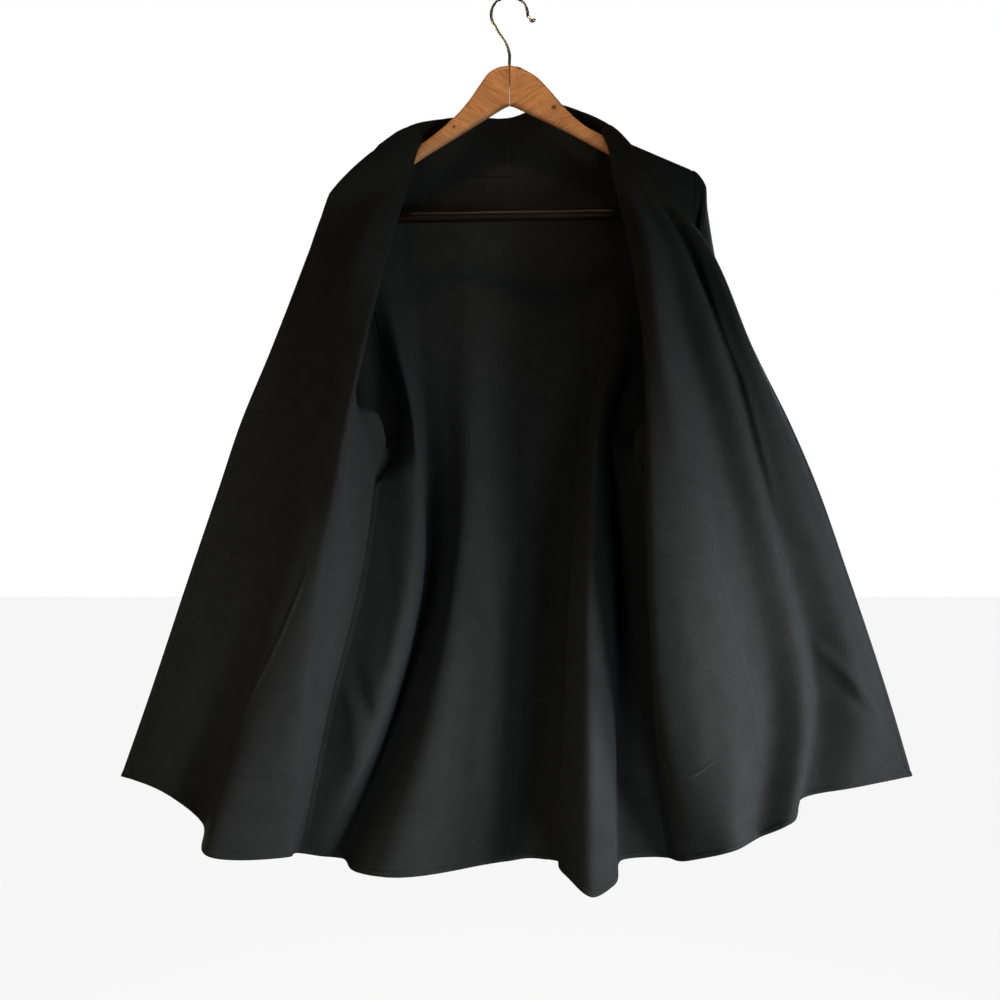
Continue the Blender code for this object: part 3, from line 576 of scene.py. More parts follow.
frontRight = {
    "folds": {
        "edge":   ((-441, 20, -876), (-413, 15),  (-356, 0),   (-322, -8),  (-298, -18), (-262, -30), (-213, -38)),
        "strip":  ((-394, 8, -889),  (-362, -2),  (-304, -22), (-270, -32), (-252, -38), (-231, -46), (-203, -48)),
        "trough": ((-350, 24, -929), (-318, -10), (-268, -40), (-243, -50), (-226, -58), (-205, -64), (-182, -60)),
        "band":   ((-329, -44, -947), (-284, -50), (-228, -80), (-200, -94), (-187, -98), (-172, -97), (-150, -78)),
        "roll":   ((-246, 2, -962),  (-226, -50), (-201, -90), (-180, -110), (-168, -113), (-151, -108), (-125, -70)),
        "inner":  ((-249, 30, -968), (-224, -5),  (-194, -30), (-179, -42), (-176, -62), (-168, -70), (-158, -54)),
        "side":   ((-245, 60, -975), (-208, 40),  (-168, 30),  (-154, 25),  (-168, -12), (-174, -26), (-180, -26)),
    },
    "neck": {
        "collar":  ((-108, -30, -205), (-190, -56, -229), (2, -6, 4)),
        "over":    ((-101, -11, -169), (-161, -56, -199), (3, -6, 6)),
        "neck":    ((-97, 0, -160),    (-132, -44, -172), (4, -8, 9)),
        "behind":  ((-97, 12, -168),   (-110, -14, -147), (3, 4, 6)),
        "quarter": ((-85, 30, -186),   (-74, 16, -130),   (0, 2, -2)),
        "half":    ((-45, 37, -190),   (-46, 28, -124),   (0, 2, -2)),
        "centre":  ((3, 41, -191),     (-2, 39, -122),    (0, 1, -1)),
    },
    "widths": (48, 50, 58, 62, 50, 40),
    "creases": (
        {"path": ((1.2, 0.4), (1.5, 2.0), (1.8, 4.2)), "wide": 16, "deep": 1.6},
        {"path": ((2.6, 0.2), (2.5, 1.4), (2.3, 2.6)), "wide": 14, "deep": -2.4},
        {"path": ((0.5, 0.6), (0.8, 1.6)), "wide": 18, "deep": 1.4},
        {"path": ((3.4, 2.4), (3.0, 3.4), (2.2, 4.4)), "wide": 12, "deep": -1.2},
        {"path": ((4.4, 1.1), (4.2, 2.6)), "wide": 10, "deep": -1.6},
    ),
}

# The wearer's left front, whose free edge rolls over in one strip more

frontLeft = {
    "folds": {
        "edge":    ((459, 25, -877), (433, 15),  (376, 0),    (339, -13),  (308, -24),  (264, -38),  (209, -42)),
        "strip":   ((390, 2, -884),  (392, -16), (346, -34),  (310, -46),  (285, -54),  (253, -64),  (202, -62)),
        "valley":  ((331, 18, -901), (344, 2),   (306, -30),  (275, -44),  (258, -50),  (234, -57),  (184, -48)),
        "crest":   ((305, -40, -914), (317, -52), (284, -74), (256, -88),  (238, -94),  (214, -94),  (176, -68)),
        "shallow": ((272, -20, -936), (287, -38), (254, -70), (230, -82),  (212, -87),  (188, -86),  (160, -68)),
        "band":    ((244, -46, -941), (221, -80), (192, -108), (173, -118), (164, -120), (152, -118), (141, -86)),
        "roll":    ((212, -18, -958), (165, -62), (150, -100), (145, -110), (143, -110), (139, -104), (125, -66)),
        "inner":   ((192, 12, -970), (163, -15), (157, -32),  (163, -42),  (170, -58),  (172, -66),  (166, -50)),
        "side":    ((182, 35, -973), (162, 33),  (156, 28),   (152, 25),   (167, -12),  (178, -26),  (194, -26)),
    },
    "neck": {
        "collar":  ((114, -30, -210),  (175, -60, -239),  (-2, -6, 4)),
        "over":    ((106, -11, -159),  (144, -56, -200),  (-3, -6, 8)),
        "neck":    ((103, 0, -150.5),  (130, -44, -178),  (-4, -8, 10)),
        "behind":  ((102, 12, -158.5), (111, -12, -146),  (-3, 4, 6)),
        "quarter": ((92, 30, -184),    (80, 16, -121),    (0, 2, -2)),
        "half":    ((50, 37, -190),    (50, 28, -109),    (0, 2, -2)),
        "centre":  ((3, 41, -191),     (-2, 39, -122),    (0, 1, -1)),
    },
    "widths": (64, 62, 42, 34, 56, 44, 48, 36),
    "creases": (
        {"path": ((1.9, 1.52), (1.55, 1.40), (1.17, 1.27), (0.72, 1.02), (0.5, 0.88)), "wide": 7, "deep": 3.0},
        {"path": ((1.8, 1.30), (1.45, 1.20), (1.05, 1.06), (0.6, 0.84)), "wide": 9, "deep": -2.6},
        {"path": ((2.05, 2.4), (2.0, 3.6), (2.0, 4.6), (1.95, 5.6), (1.9, 6.4)), "wide": 5, "deep": -3.0},
        {"path": ((1.75, 2.6), (1.7, 3.6), (1.65, 4.6), (1.6, 5.6), (1.5, 6.4)), "wide": 6, "deep": 1.8},
        {"path": ((4.6, 1.9), (4.9, 1.2), (5.2, 0.6)), "wide": 12, "deep": -1.4},
        {"path": ((5.6, 0.3), (5.4, 1.4), (5.2, 2.8)), "wide": 14, "deep": 1.4},
        {"path": ((6.5, 0.2), (6.4, 1.2), (6.5, 2.6)), "wide": 10, "deep": -1.8},
    ),
}


def panelSides(grid, columns):
    # distances from the free edge, the side, the hem and the top, where the neckband is its own strip
    first, low = runs(grid, 1), runs(grid, 0)
    last = first[:, -1:] - first
    high = low[-1:] - low
    if columns:
        last[neckRow + 1:] = first[neckRow + 1:, columns:columns + 1] - first[neckRow + 1:]
        high[:, columns + 1:] = low[neckRow:neckRow + 1, columns + 1:] - low[:, columns + 1:]
    return first, last, low, high


farOff = 999.0  # a distance that no edge's work reaches


def frontPanel(name, dress, curves, beyond, paint):
    # free edge to side below the shoulder, and above it the neckband to the centre back
    folds = list(dress["folds"])
    fold = folds.index("roll")
    at = spacedPlaces(dress["widths"], cloth["spacing"])
    turn = np.interp(allRows, np.arange(len(turns["roll"])), turns["roll"])
    grid = turnedThrough(withNeighbour(curves, beyond), at, fold, turn)
    roll = int(np.searchsorted(at, fold))
    normal = facing(grid)
    if normal[underarmRow // 2, roll // 2, 1] > 0:
        normal = -normal
    first, last, low, high = panelSides(grid, roll)
    held = smooth(np.minimum(last, high), cloth["held"], cloth["loose"])
    grid = creased(grid, normal, at, allRows, dress["creases"], held)
    low[neckRow + 1:] = farOff
    front, back = edgeWork(("felled", "felled", "seam", "seam"), (first, low, last, high),
                           (runs(grid, 0), runs(grid, 1), runs(grid, 0), runs(grid, 1)))
    cells = np.ones((grid.shape[0] - 1, grid.shape[1]), bool)
    cells[neckRow:, roll:] = False
    piece = clothPiece(name, grid, normal, front, back, paint, cells)
    return {"piece": piece, "grid": grid, "normal": normal, "atFold": at, "front": front}


backRight = {
    "folds": {
        "centre": ((-4, 84, -992),   (12, 88),    (13, 88),   (12, 84),    (10, 78),    (7, 68),     (4, 52)),
        "soft":   ((-150, 8, -986),  (-88, 26),   (-59, 40),  (-48, 45),   (-45, 46),   (-44, 46),   (-46, 44)),
        "slope":  ((-178, 28, -986), (-110, 56),  (-76, 74),  (-73, 74),   (-74, 70),   (-78, 62),   (-84, 48)),
        "trough": ((-198, 70, -984), (-128, 92),  (-94, 98),  (-96, 93),   (-99, 86),   (-106, 72),  (-116, 48)),
        "ridge":  ((-221, 62, -979), (-150, 22),  (-110, 6),  (-105, 5),   (-108, 9),   (-124, 26),  (-146, 36)),
        "side":   ((-245, 60, -975), (-208, 40),  (-168, 30), (-154, 25),  (-119, 44),  (-143, 48),  (-171, 34)),
    },
    "top": {
        "centre": ((4, 44, -222),    (3, 42, -200),    (3, 41, -191)),
        "soft":   ((-46, 40, -221),  (-45, 38, -199),  (-45, 37, -190)),
        "slope":  ((-88, 36, -218),  (-86, 32, -196),  (-85, 30, -186)),
        "trough": ((-112, 29, -212), (-104, 11, -168), (-97, 0, -160)),
        "ridge":  -139.0,
        "side":   -180.0,
    },
    "outerWidths": (56, 50),
    "creases": (
        {"path": ((0.4, 0.3), (0.35, 2.0), (0.3, 4.4)), "wide": 20, "deep": 1.4},
        {"path": ((3.4, 2.3), (3.9, 3.0), (4.3, 3.4)), "wide": 9, "deep": -2.2},
        {"path": ((4.2, 1.2), (4.5, 2.3)), "wide": 11, "deep": -1.8},
        {"path": ((4.85, 1.42), (4.55, 1.22), (4.1, 0.96), (3.6, 0.76)), "wide": 9, "deep": -3.2},
        {"path": ((4.85, 1.20), (4.5, 0.98), (4.0, 0.62), (3.7, 0.45)), "wide": 9, "deep": 2.6},
        {"path": ((3.6, 0.5), (3.4, 1.6)), "wide": 12, "deep": 1.6},
    ),
}
backLeft = {
    "folds": {
        "centre": backRight["folds"]["centre"],
        "soft":   ((26, 100, -993),  (36, 104),   (38, 102),  (36, 98),    (36, 90),    (36, 78),    (34, 54)),
        "trough": ((48, 84, -990),   (58, 96),    (66, 98),   (70, 92),    (74, 84),    (82, 72),    (78, 52)),
        "tube":   ((63, -16, -978),  (68, -8),    (75, 2),    (84, 18),    (91, 28),    (104, 42),   (108, 46)),
        "crest":  ((89, -48, -991),  (88, -38),   (90, -24),  (95, -4),    (100, 10),   (116, 28),   (130, 40)),
        "fall":   ((113, -24, -987), (110, -16),  (107, -4),  (107, 12),   (109, 20),   (129, 30),   (150, 38)),
        "hollow": ((132, 44, -978),  (132, 60),   (132, 62),  (129, 48),   (115, 34),   (139, 40),   (170, 37)),
        "side":   ((182, 35, -973),  (162, 33),   (156, 28),  (152, 25),   (121, 44),   (147, 48),   (188, 34)),
    },
    "top": {
        "centre": backRight["top"]["centre"],
        "soft":   ((24, 45, -222),   (24, 42, -200),   (24, 40, -191)),
        "trough": ((52, 42, -221),   (50, 39, -199),   (50, 37, -190)),
        "tube":   ((92, 36, -216),   (92, 32, -194),   (92, 30, -184)),
        "crest":  ((118, 29, -206),  (110, 11, -158),  (103, 0, -150.5)),
        "fall":   136.0,
        "hollow": 170.0,
        "side":   203.0,
    },
    "outerWidths": (40, 66, 42),
    "creases": (
        {"path": ((0.5, 0.3), (0.5, 2.4), (0.5, 5.0)), "wide": 12, "deep": 1.0},
        {"path": ((5.6, 2.2), (6.0, 3.0), (6.4, 3.4)), "wide": 9, "deep": -2.0},
        {"path": ((6.3, 0.6), (6.4, 2.0)), "wide": 11, "deep": -1.6},
    ),
}


def backPanel(name, dress, curves, beyondSide, beyondCentre, neckCurve, paint):
    # centre seam to side, under the shoulder seam and the neckband, whose seam it follows point for point
    neckFold = sum(not isinstance(cells, float) for cells in dress["top"].values()) - 1
    wide = np.concatenate([beyondCentre[:, None], withNeighbour(curves, beyondSide)], axis=1)
    fine = np.linspace(0, neckFold, 400)
    top = through(wide[-1, :neckFold + 2], fine + 1)
    outer = neckFold + spacedPlaces(dress["outerWidths"], cloth["spacing"], start=False)[1:]
    at = np.concatenate([np.interp(shares(neckCurve), shares(top), fine), outer])
    turn = np.interp(lowRows, np.arange(len(turns["back"])), turns["back"])
    grid = turnedThrough(wide, at + 1, neckFold + 1, turn)
    neck = slice(0, len(neckCurve))
    moved = neckCurve - grid[-1, neck]
    follow = np.interp(lowRows, turns["followAt"], turns["follow"])
    grid[:, neck] += follow[:, None, None] * moved
    normal = facing(grid)
    if normal[underarmRow // 2, 5, 1] > 0:
        normal = -normal
    first, last, low, high = panelSides(grid, 0)
    held = smooth(np.minimum(np.minimum(first, last), high), cloth["held"], cloth["loose"])
    grid = creased(grid, normal, at, lowRows, dress["creases"], held)
    front, back = edgeWork(("felled", "seam", "seam", "seam"), (low, first, last, high),
                           (runs(grid, 1), runs(grid, 0), runs(grid, 0), runs(grid, 1)))
    piece = clothPiece(name, grid, normal, front, back, paint)
    return {"piece": piece, "grid": grid, "normal": normal, "atFold": at}


# Sleeves: rings from the armhole to the cuff. Each is its centre, how far it reaches across and deep, how
# far its outer side rises and leans, and its hollows. A wrinkle is its share of the way down, its place
# round the sleeve and its depth

sleeves = {"stand": 3.5, "lengths": (4, 40, 16, 44, 88, 116, 100, 88), "wrinkleWide": 0.022, "wrinkleLong": 0.20}

sleeveRight = {
    "rings": {
        "cap":     ((-184, 13, -367), 12, 44, 153, 13, 0),
        "lip":     ((-191, 14, -374), 16, 46, 134, 12, 1),
        "under":   ((-207, 22, -412), 22, 51, 112, 8, 3),
        "upper":   ((-227, 32, -492), 38, 60, 70, 5, 6),
        "elbow":   ((-243, 40, -606), 49, 60, 18, 0, 7),
        "forearm": ((-254, 44, -706), 47, 56, 4, 0, 6),
        "cuff":    ((-267, 46, -792), 41, 54, -6, 0, 4),
    },
    "pouch": {"wide": 58, "ahead": 16, "rise": (12, 0, 57), "fold": (3, 14, 61)},
    "wrinkles": ((0.52, 0.20, 2.6), (0.60, 0.62, -2.4), (0.66, 0.24, 2.0), (0.74, 0.55, 1.6), (0.58, 0.90, -2.2)),
}
sleeveLeft = {
    "rings": {
        "cap":     ((198, 13, -362), 18, 44, 156, 13, 0),
        "lip":     ((201, 14, -370), 18, 46, 137, 12, 1),
        "under":   ((210, 22, -408), 20, 51, 114, 8, 3),
        "upper":   ((228, 32, -488), 38, 60, 72, 5, 6),
        "elbow":   ((234, 41, -604), 48, 58, 16, 0, 7),
        "forearm": ((236, 46, -706), 46, 54, 4, 0, 6),
        "cuff":    ((238, 48, -796), 41, 52, 6, 0, 4),
    },
    "pouch": {"wide": 54, "ahead": 14, "rise": (11, 0, 47), "fold": (3, 13, 51)},
    "wrinkles": ((0.50, 0.25, 2.4), (0.57, 0.60, -2.6), (0.64, 0.18, 2.2), (0.72, 0.66, 1.8), (0.60, 0.88, -2.0)),
}


def sleevePiece(name, dress, frontSide, backSide, paint):
    # a smooth surface from the armhole's edge through every ring; a ring is an ellipse with three soft
    # hollows, tilted so that its outer side stands higher
    rows = np.arange(underarmRow, neckRow + 1)
    edges = ((frontSide[key][rows, -1], backSide[key][rows, -1]) for key in ("grid", "normal"))
    loop, way = (np.vstack([ahead[-1:], behind[-2:0:-1], ahead[:-1]]) for ahead, behind in edges)
    out = np.cross(np.roll(loop, -1, axis=0) - np.roll(loop, 1, axis=0), way)
    for _ in range(3):
        out = (np.roll(out, 1, axis=0) + out + np.roll(out, -1, axis=0)) / 3
    out /= np.linalg.norm(out, axis=1)[:, None]
    if ((loop - loop.mean(axis=0)) * out).sum(axis=1).mean() > 0:
        out = -out
    length = np.linalg.norm(np.roll(loop, -1, axis=0) - loop, axis=1)
    run = np.concatenate([[0.0], np.cumsum(length)[:-1]])
    turn = 2 * math.pi * run / length.sum()
    sign = math.copysign(1, loop[0, 0])
    stack = [loop, loop + out * sleeves["stand"]]
    for centre, across, depth, rise, lean, hollow in dress["rings"].values():
        swell = 1 + hollow / across * np.cos(3 * turn + 0.6) * 0.5
        offset = np.stack([sign * across * np.cos(turn), depth * np.sin(turn), 0 * turn], axis=1) * swell[:, None]
        offset += np.stack([0 * turn, -lean * np.cos(turn), rise * np.cos(turn)], axis=1)
        stack.append(np.array(centre, float) + offset)
    # the cloth under the arm stands up inside the armhole as a soft lip before it turns down the sleeve
    corner = int(np.argmin(loop[:, 2]))
    near = bell(run - run[corner] - dress["pouch"]["ahead"], dress["pouch"]["wide"])[:, None]
    for k, (inward, back, up) in ((2, dress["pouch"]["rise"]), (3, dress["pouch"]["fold"])):
        stack[k] = stack[k] * (1 - near) + (loop + np.array([-sign * inward, back, up])) * near
    lines = np.stack(stack, axis=1)
    at = spacedPlaces(sleeves["lengths"], cloth["spacing"], start=False)
    grid = np.swapaxes(through(lines, at), 0, 1)
    normal = facing(grid, ring=True)
    middle = grid.mean(axis=1, keepdims=True)
    if ((grid - middle) * normal).sum() < 0:
        normal = -normal
    down = runs(grid, 0)
    share = down / down[-1:]
    lift = np.zeros(share.shape)
    around = turn[None, :] / (2 * math.pi)
    for level, place, deep in dress["wrinkles"]:
        apart = np.abs((around - place + 0.5) % 1 - 0.5)
        slant = level + 0.10 * (around - place)
        lift += deep * bell(share - slant, sleeves["wrinkleWide"]) * bell(apart, sleeves["wrinkleLong"])
    grid = grid + normal * (lift * smooth(down, 6, 40))[..., None]
    around = np.broadcast_to(around * length.sum(), down.shape)
    back, front = edgeWork(("seam", "felled"), (down, down[-1:] - down), (around, around))
    piece = clothPiece(name, grid, normal, front, back, paint, ring=True)
    return {"piece": piece, "grid": grid, "normal": normal}


# Pocket bags sewn to the insides of the fronts: "front" is the loose edge's fold at the top and the foot,
# "back" the sewn edge's, and "sag" lifts the foot at six even places from front to back

pocketRight = {"front": (3.44, 2.55), "back": 5.6, "foot": 0.60, "top": 2.06,
               "sag": (0.05, 0.0, 0.03, 0.0, 0.03, 0.06)}
pocketLeft = {"front": (4.60, 4.24), "back": 7.6, "foot": 0.62, "top": 2.22,
              "sag": (0.17, 0.12, 0.0, 0.07, 0.02, 0.14)}
bags = {"rows": 90, "columns": 64, "corner": 0.22, "cornerHigh": 0.12, "gap": 0.12, "free": 45,
        "ridge": (0.9, 3.2, 1.9), "groove": (0.3, 7.5, 1.2)}


def sampled(values, row, column):
    # values of a grid between its points, straight across each cell
    r, c = np.minimum(row.astype(int), values.shape[0] - 2), np.minimum(column.astype(int), values.shape[1] - 2)
    s, t = row - r, column - c
    if values.ndim == 3:
        s, t = s[..., None], t[..., None]
    low, high = (values[k, c] * (1 - t) + values[k, c + 1] * t for k in (r, r + 1))
    return low * (1 - s) + high * s


def pocketPiece(name, pocket, panel, paint):
    # the front's own surface set off by half the bag's thickness, which runs out where it is sewn in; the
    # loose edges are pressed, the lower corners rounded and the lower edge sags between its tacks
    rise, across = np.meshgrid(np.linspace(0, 1, bags["rows"]), np.linspace(0, 1, bags["columns"]), indexing="ij")
    high, low = pocket["front"]
    corner = bags["corner"] * np.clip(1 - rise / bags["cornerHigh"], 0, 1) ** 2
    start = low + (high - low) * rise + corner
    places = start + (pocket["back"] - start - 0.6 * corner) * across
    sag = np.array(pocket["sag"])
    spans = len(sag) - 1
    ease = (1 - np.cos(math.pi * (across * spans % 1))) / 2
    step = np.minimum((across * spans).astype(int), spans - 1)
    foot = pocket["foot"] + sag[step] * (1 - ease) + sag[step + 1] * ease
    foot[:, -1] = pocket["foot"] + sag[-1]
    heights = foot + (pocket["top"] - foot) * rise
    row = np.interp(heights, allRows, np.arange(len(allRows)))
    column = np.interp(places, panel["atFold"], np.arange(len(panel["atFold"])))
    grid, normal = sampled(panel["grid"], row, column), sampled(panel["normal"], row, column)
    lift = sampled(panel["front"], row, column) + bags["gap"]
    first, low = runs(grid, 1), runs(grid, 0)
    sewn = np.minimum(first[:, -1:] - first, low[-1:] - low)
    edge = np.minimum(np.minimum(first, low), sewn + 4.0)
    free = smooth(sewn, 0, bags["free"])
    half = cloth["pocketThick"] / 2 * np.sqrt(np.clip(edge / 2.0, 0.04, 1)) * (0.12 + 0.88 * free)
    (ridgeHigh, ridgeAt, ridgeWide), (grooveDeep, grooveAt, grooveWide) = bags["ridge"], bags["groove"]
    ridge = (ridgeHigh * bell(edge - ridgeAt, ridgeWide) - grooveDeep * bell(edge - grooveAt, grooveWide)) * free
    grid = grid + normal * (lift + half)[..., None]
    return clothPiece(name, grid, normal, half + ridge, half, paint)


# Small stitches and bar tacks

def sideFaces(rows, sides):
    # four corners between each ring of points and the next
    k, j = np.meshgrid(np.arange(rows - 1), np.arange(sides), indexing="ij")
    a, b = k * sides + j, k * sides + (j + 1) % sides
    return np.stack([a, b, b + sides, a + sides], axis=-1).reshape(-1, 4)


def atDistance(grid, normal, away, distance, lift):
    # where each row of a grid comes to a given distance from its edge, lifted off the surface
    index = np.clip((away < distance).sum(axis=1), 1, away.shape[1] - 1)
    rows = np.arange(len(index))
    near, far = away[rows, index - 1], away[rows, index]
    t = ((distance - near) / np.maximum(far - near, 1e-6))[:, None]
    point = grid[rows, index - 1] * (1 - t) + grid[rows, index] * t
    return point + normal[rows, index] * lift, normal[rows, index]


def evenly(points, normals, pitch):
    # places a pitch apart along a line of points, with the line's direction and the normal at each
    run = np.concatenate([[0.0], np.cumsum(np.linalg.norm(np.diff(points, axis=0), axis=1))])
    at = np.arange(pitch, run[-1] - pitch / 2, pitch)
    place = np.stack([np.interp(at, run, points[:, k]) for k in range(3)], axis=1)
    ahead = np.stack([np.interp(at + 0.5, run, points[:, k]) for k in range(3)], axis=1)
    up = np.stack([np.interp(at, run, normals[:, k]) for k in range(3)], axis=1)
    way = ahead - place
    return place, way / np.linalg.norm(way, axis=1)[:, None], up / np.linalg.norm(up, axis=1)[:, None]


def stitchPiece(name, sets, paint, long=2.6, wide=0.30, slant=0.55):
    # every stitch is a short six-sided thread, arched over the cloth and slanted to its line
    rings, sides = 5, 6
    s = np.linspace(-1, 1, rings)
    turn = np.arange(sides) * 2 * math.pi / sides
    caps = np.array([np.arange(sides)[::-1], (rings - 1) * sides + np.arange(sides)])
    one = np.vstack([sideFaces(rings, sides), caps[:, [0, 1, 2, 3]], caps[:, [0, 3, 4, 5]]])
    points = []
    for place, way, up in sets:
        side = np.cross(way, up)
        axis = way * math.cos(slant) + side * math.sin(slant)
        other = np.cross(axis, up)
        arch = 0.45 * (1 - s**2) - 0.25
        radius = wide * np.sqrt(np.clip(1 - s**6, 0.1, 1))
        spine = place[:, None] + axis[:, None] * (s * long / 2)[None, :, None] + up[:, None] * arch[None, :, None]
        circle = (other[:, None, None] * np.cos(turn)[None, None, :, None]
                  + up[:, None, None] * np.sin(turn)[None, None, :, None]) * radius[None, :, None, None]
        points.append((spine[:, :, None] + circle).reshape(-1, 3))
    points = np.vstack(points)
    starts = np.arange(0, len(points), rings * sides)[:, None, None]
    return meshPiece(name, points * mm, (starts + one).reshape(-1, 4).tolist(), paint)


def edgeStitches(panel, edge):
    # along the free edge (0) or the hem (1) of a panel, or round a cuff (2)
    grid, normal = panel["grid"], panel["normal"]
    if edge == 2:
        grid, normal = grid[::-1], -normal[::-1]
    if edge:
        grid, normal = np.swapaxes(grid, 0, 1), np.swapaxes(normal, 0, 1)
    place, up = atDistance(grid, normal, runs(grid, 1), cloth["foldWidth"] - 0.2, cloth["thick"] / 2)
    return evenly(place, up, cloth["stitchPitch"])


# Bar tacks: panel, fold, level and the turn of the bar from upright
tacks = {
    "tack_pocket_right": ("right", "front", 3.46, 2.10, 0.42),
    "tack_pocket_left": ("left", "front", 4.60, 2.27, -0.25),
    "tack_side_right": ("right", "back", 4.14, 1.79, 0.9),
}


def tackPlaces(panel, fold, level, turn, long=9.0, pitch=0.55):
    # close stitches across a short bar on the panel's face
    row = np.searchsorted(allRows, level)
    column = min(np.searchsorted(panel["atFold"], fold), panel["grid"].shape[1] - 2)
    point, up = panel["grid"][row, column], panel["normal"][row, column]
    rise = panel["grid"][row + 1, column] - point
    rise = rise - up * (rise @ up)
    rise /= np.linalg.norm(rise)
    way = rise * math.cos(turn) + np.cross(up, rise) * math.sin(turn)
    along = np.arange(-long / 2, long / 2, pitch)[:, None]
    place = point + up * (cloth["thick"] / 2 + 0.15) + way * along
    return place, np.tile(way, (len(along), 1)), np.tile(up, (len(along), 1))


# The hanger

armRight = {
    "top": -76.0,
    "neck": ((-11, -77.5), (-22, -83), (-33, -97), (-44, -113), (-56, -127.5), (-71, -142)),
    "end": ((-186, -208.5), (-191, -217), (-193, -230), (-192, -246), (-187, -254), (-179, -257), (-170, -252)),
    "under": ((-160, -236), (-146, -217), (-124, -198), (-106, -185.5), (-60, -156.5)),
    "crotch": -119.6,
}
armLeft = {
    "top": -76.0,
    "neck": ((12, -78), (21, -82.6), (31, -89), (41, -99), (52, -111.5), (63, -124), (74, -134.5), (86, -144)),
    "end": ((208, -199.5), (213, -208), (215, -220), (213, -239), (208, -247), (199, -250), (190, -246)),
    "under": ((180, -231), (166, -213), (140, -191), (108, -173.5), (60, -148)),
    "crotch": -119.6,
}
arms = {"thick": 12.0, "round": 5.5, "joint": 0.16, "square": 3.0, "steps": 8, "sharp": 50}


def closedRings(name, grid, paint):
    # a surface through rings of points, with one face over each end
    rows, sides = grid.shape[:2]
    ends = [list(range(sides))[::-1], list(range((rows - 1) * sides, rows * sides))]
    return meshPiece(name, grid.reshape(-1, 3) * mm, sideFaces(rows, sides).tolist() + ends, paint)


def hangerArm(name, profile, line, sign, paint):
    # a smooth outline swept over a rounded section: each step in from the outline by round x (1 - cos)
    # stands out by round x sin from the flat's edge; beside the joint the section turns square
    joint = sign * arms["joint"]
    corners = [(joint, profile["top"]), *profile["neck"], *line, *profile["end"], *profile["under"],
               (joint, profile["crotch"])]
    path = np.array([(x, 0.0, z) for x, z in corners], float)
    steps, first = arms["steps"], 1 + len(profile["neck"])
    at = np.concatenate([k + np.arange(steps) / steps for k in range(len(path) - 1)] + [[len(path) - 1]])
    outline = through(path, at)
    straight = slice(steps * first, steps * (first + 1) + 1)
    t = np.linspace(0, 1, outline[straight].shape[0])[:, None]
    outline[straight] = outline[straight][:1] * (1 - t) + outline[straight][-1:] * t
    if sign > 0:
        outline = outline[::-1]
    ahead = np.roll(outline, -1, axis=0) - np.roll(outline, 1, axis=0)
    inward = np.stack([-ahead[:, 2], np.zeros(len(ahead)), ahead[:, 0]], axis=1)
    inward /= np.linalg.norm(inward, axis=1)[:, None]
    if np.cross(np.roll(outline, -1, axis=0) - outline, outline.mean(axis=0) - outline)[:, 1].sum() > 0:
        inward = -inward
    flat = arms["thick"] / 2 - arms["round"]
    share = np.clip(np.abs(outline[:, :1]) / arms["square"], 0.08, 1)
    rings = []
    for angle in np.radians(np.concatenate([np.linspace(90, 0, 9), np.linspace(0, -90, 9)[1:]])):
        depth = -(flat + arms["round"] * math.sin(angle)) if angle >= 0 else flat - arms["round"] * math.sin(angle)
        ring = outline + inward * arms["round"] * (1 - math.cos(angle)) * share
        ring[:, 1] = depth
        rings.append(ring)
    piece = closedRings(name, np.array(rings), paint)
    piece.data.set_sharp_from_angle(angle=math.radians(arms["sharp"]))
    return piece


def tube(name, path, radius, paint, sides=20):
    # circles carried along a path, each square to it
    way = np.gradient(path, axis=0)
    way /= np.linalg.norm(way, axis=1)[:, None]
    other = np.tile([0.0, 1.0, 0.0], (len(path), 1))
    third = np.cross(way, other)
    turn = np.arange(sides) * 2 * math.pi / sides
    circle = other[:, None] * np.cos(turn)[None, :, None] + third[:, None] * np.sin(turn)[None, :, None]
    return closedRings(name, path[:, None] + circle * radius[:, None, None], paint)


def domed(path, radius, size):
    # adds a rounded tip: the circles go on by size x sin and their radius falls as cos
    way = (path[-1] - path[-2]) / np.linalg.norm(path[-1] - path[-2])
    angles = np.radians([25, 48, 68, 84])
    extra = path[-1] + way * (np.sin(angles) * size)[:, None]
    return np.vstack([path, extra]), np.concatenate([radius, radius[-1] * np.cos(angles)])


# Across and height of the shank, then of the tip from the round's centre, and the wire's swelling at the tip
hook = {"wire": 1.65, "radius": 20.5, "steps": 190, "start": 220, "sweep": 222, "turns": 22,
        "shank": ((0, -98), (0, -84), (0, -72), (0, -63), (-1.5, -57), (-4, -51), (-8.5, -44), (-13, -37.5)),
        "tip": ((22.5, -4), (25.5, -6), (28.5, -5.5)), "knob": (1, 1.3, 1.5, 1.05)}
bar = {"radius": 6.75, "ends": ((-184.0, -246.0), (201.0, -240.0)), "steps": 60, "sides": 40}


def hookPiece(name, paint):
    # shank, a bend to the left, the round of the hook and a tip turned outwards with a small knob
    centre = -(hook["radius"] - hook["wire"])
    angles = np.radians(hook["start"] - hook["sweep"] * np.arange(hook["turns"] + 1) / hook["turns"])
    given = [*hook["shank"],
             *((hook["radius"] * math.cos(a), centre + hook["radius"] * math.sin(a)) for a in angles),
             *((x, centre + z) for x, z in hook["tip"])]
    given = np.array([(x, 0, z) for x, z in given], float)
    last = len(given) - 1
    at = np.linspace(0, last, hook["steps"])
    size = np.interp(at, (last - 3, last - 2, last - 1, last), hook["knob"]) * hook["wire"]
    return tube(name, *domed(through(given, at), size, hook["wire"] * 0.7), paint)


# Building

print("stage: materials")
wool = woolPaint("wool", woolLook)
pocketing = woolPaint("pocketing", {**woolLook, "napDeep": 0.22})
cedarRight, cedarLeft = cedarPaint("cedarRight", cedarLook, 1), cedarPaint("cedarLeft", cedarLook, -1)
darkWood, nickel = barPaint("darkWood", barLook), wirePaint("nickel", wireLook)
thread = threadPaint("thread", threadLook)

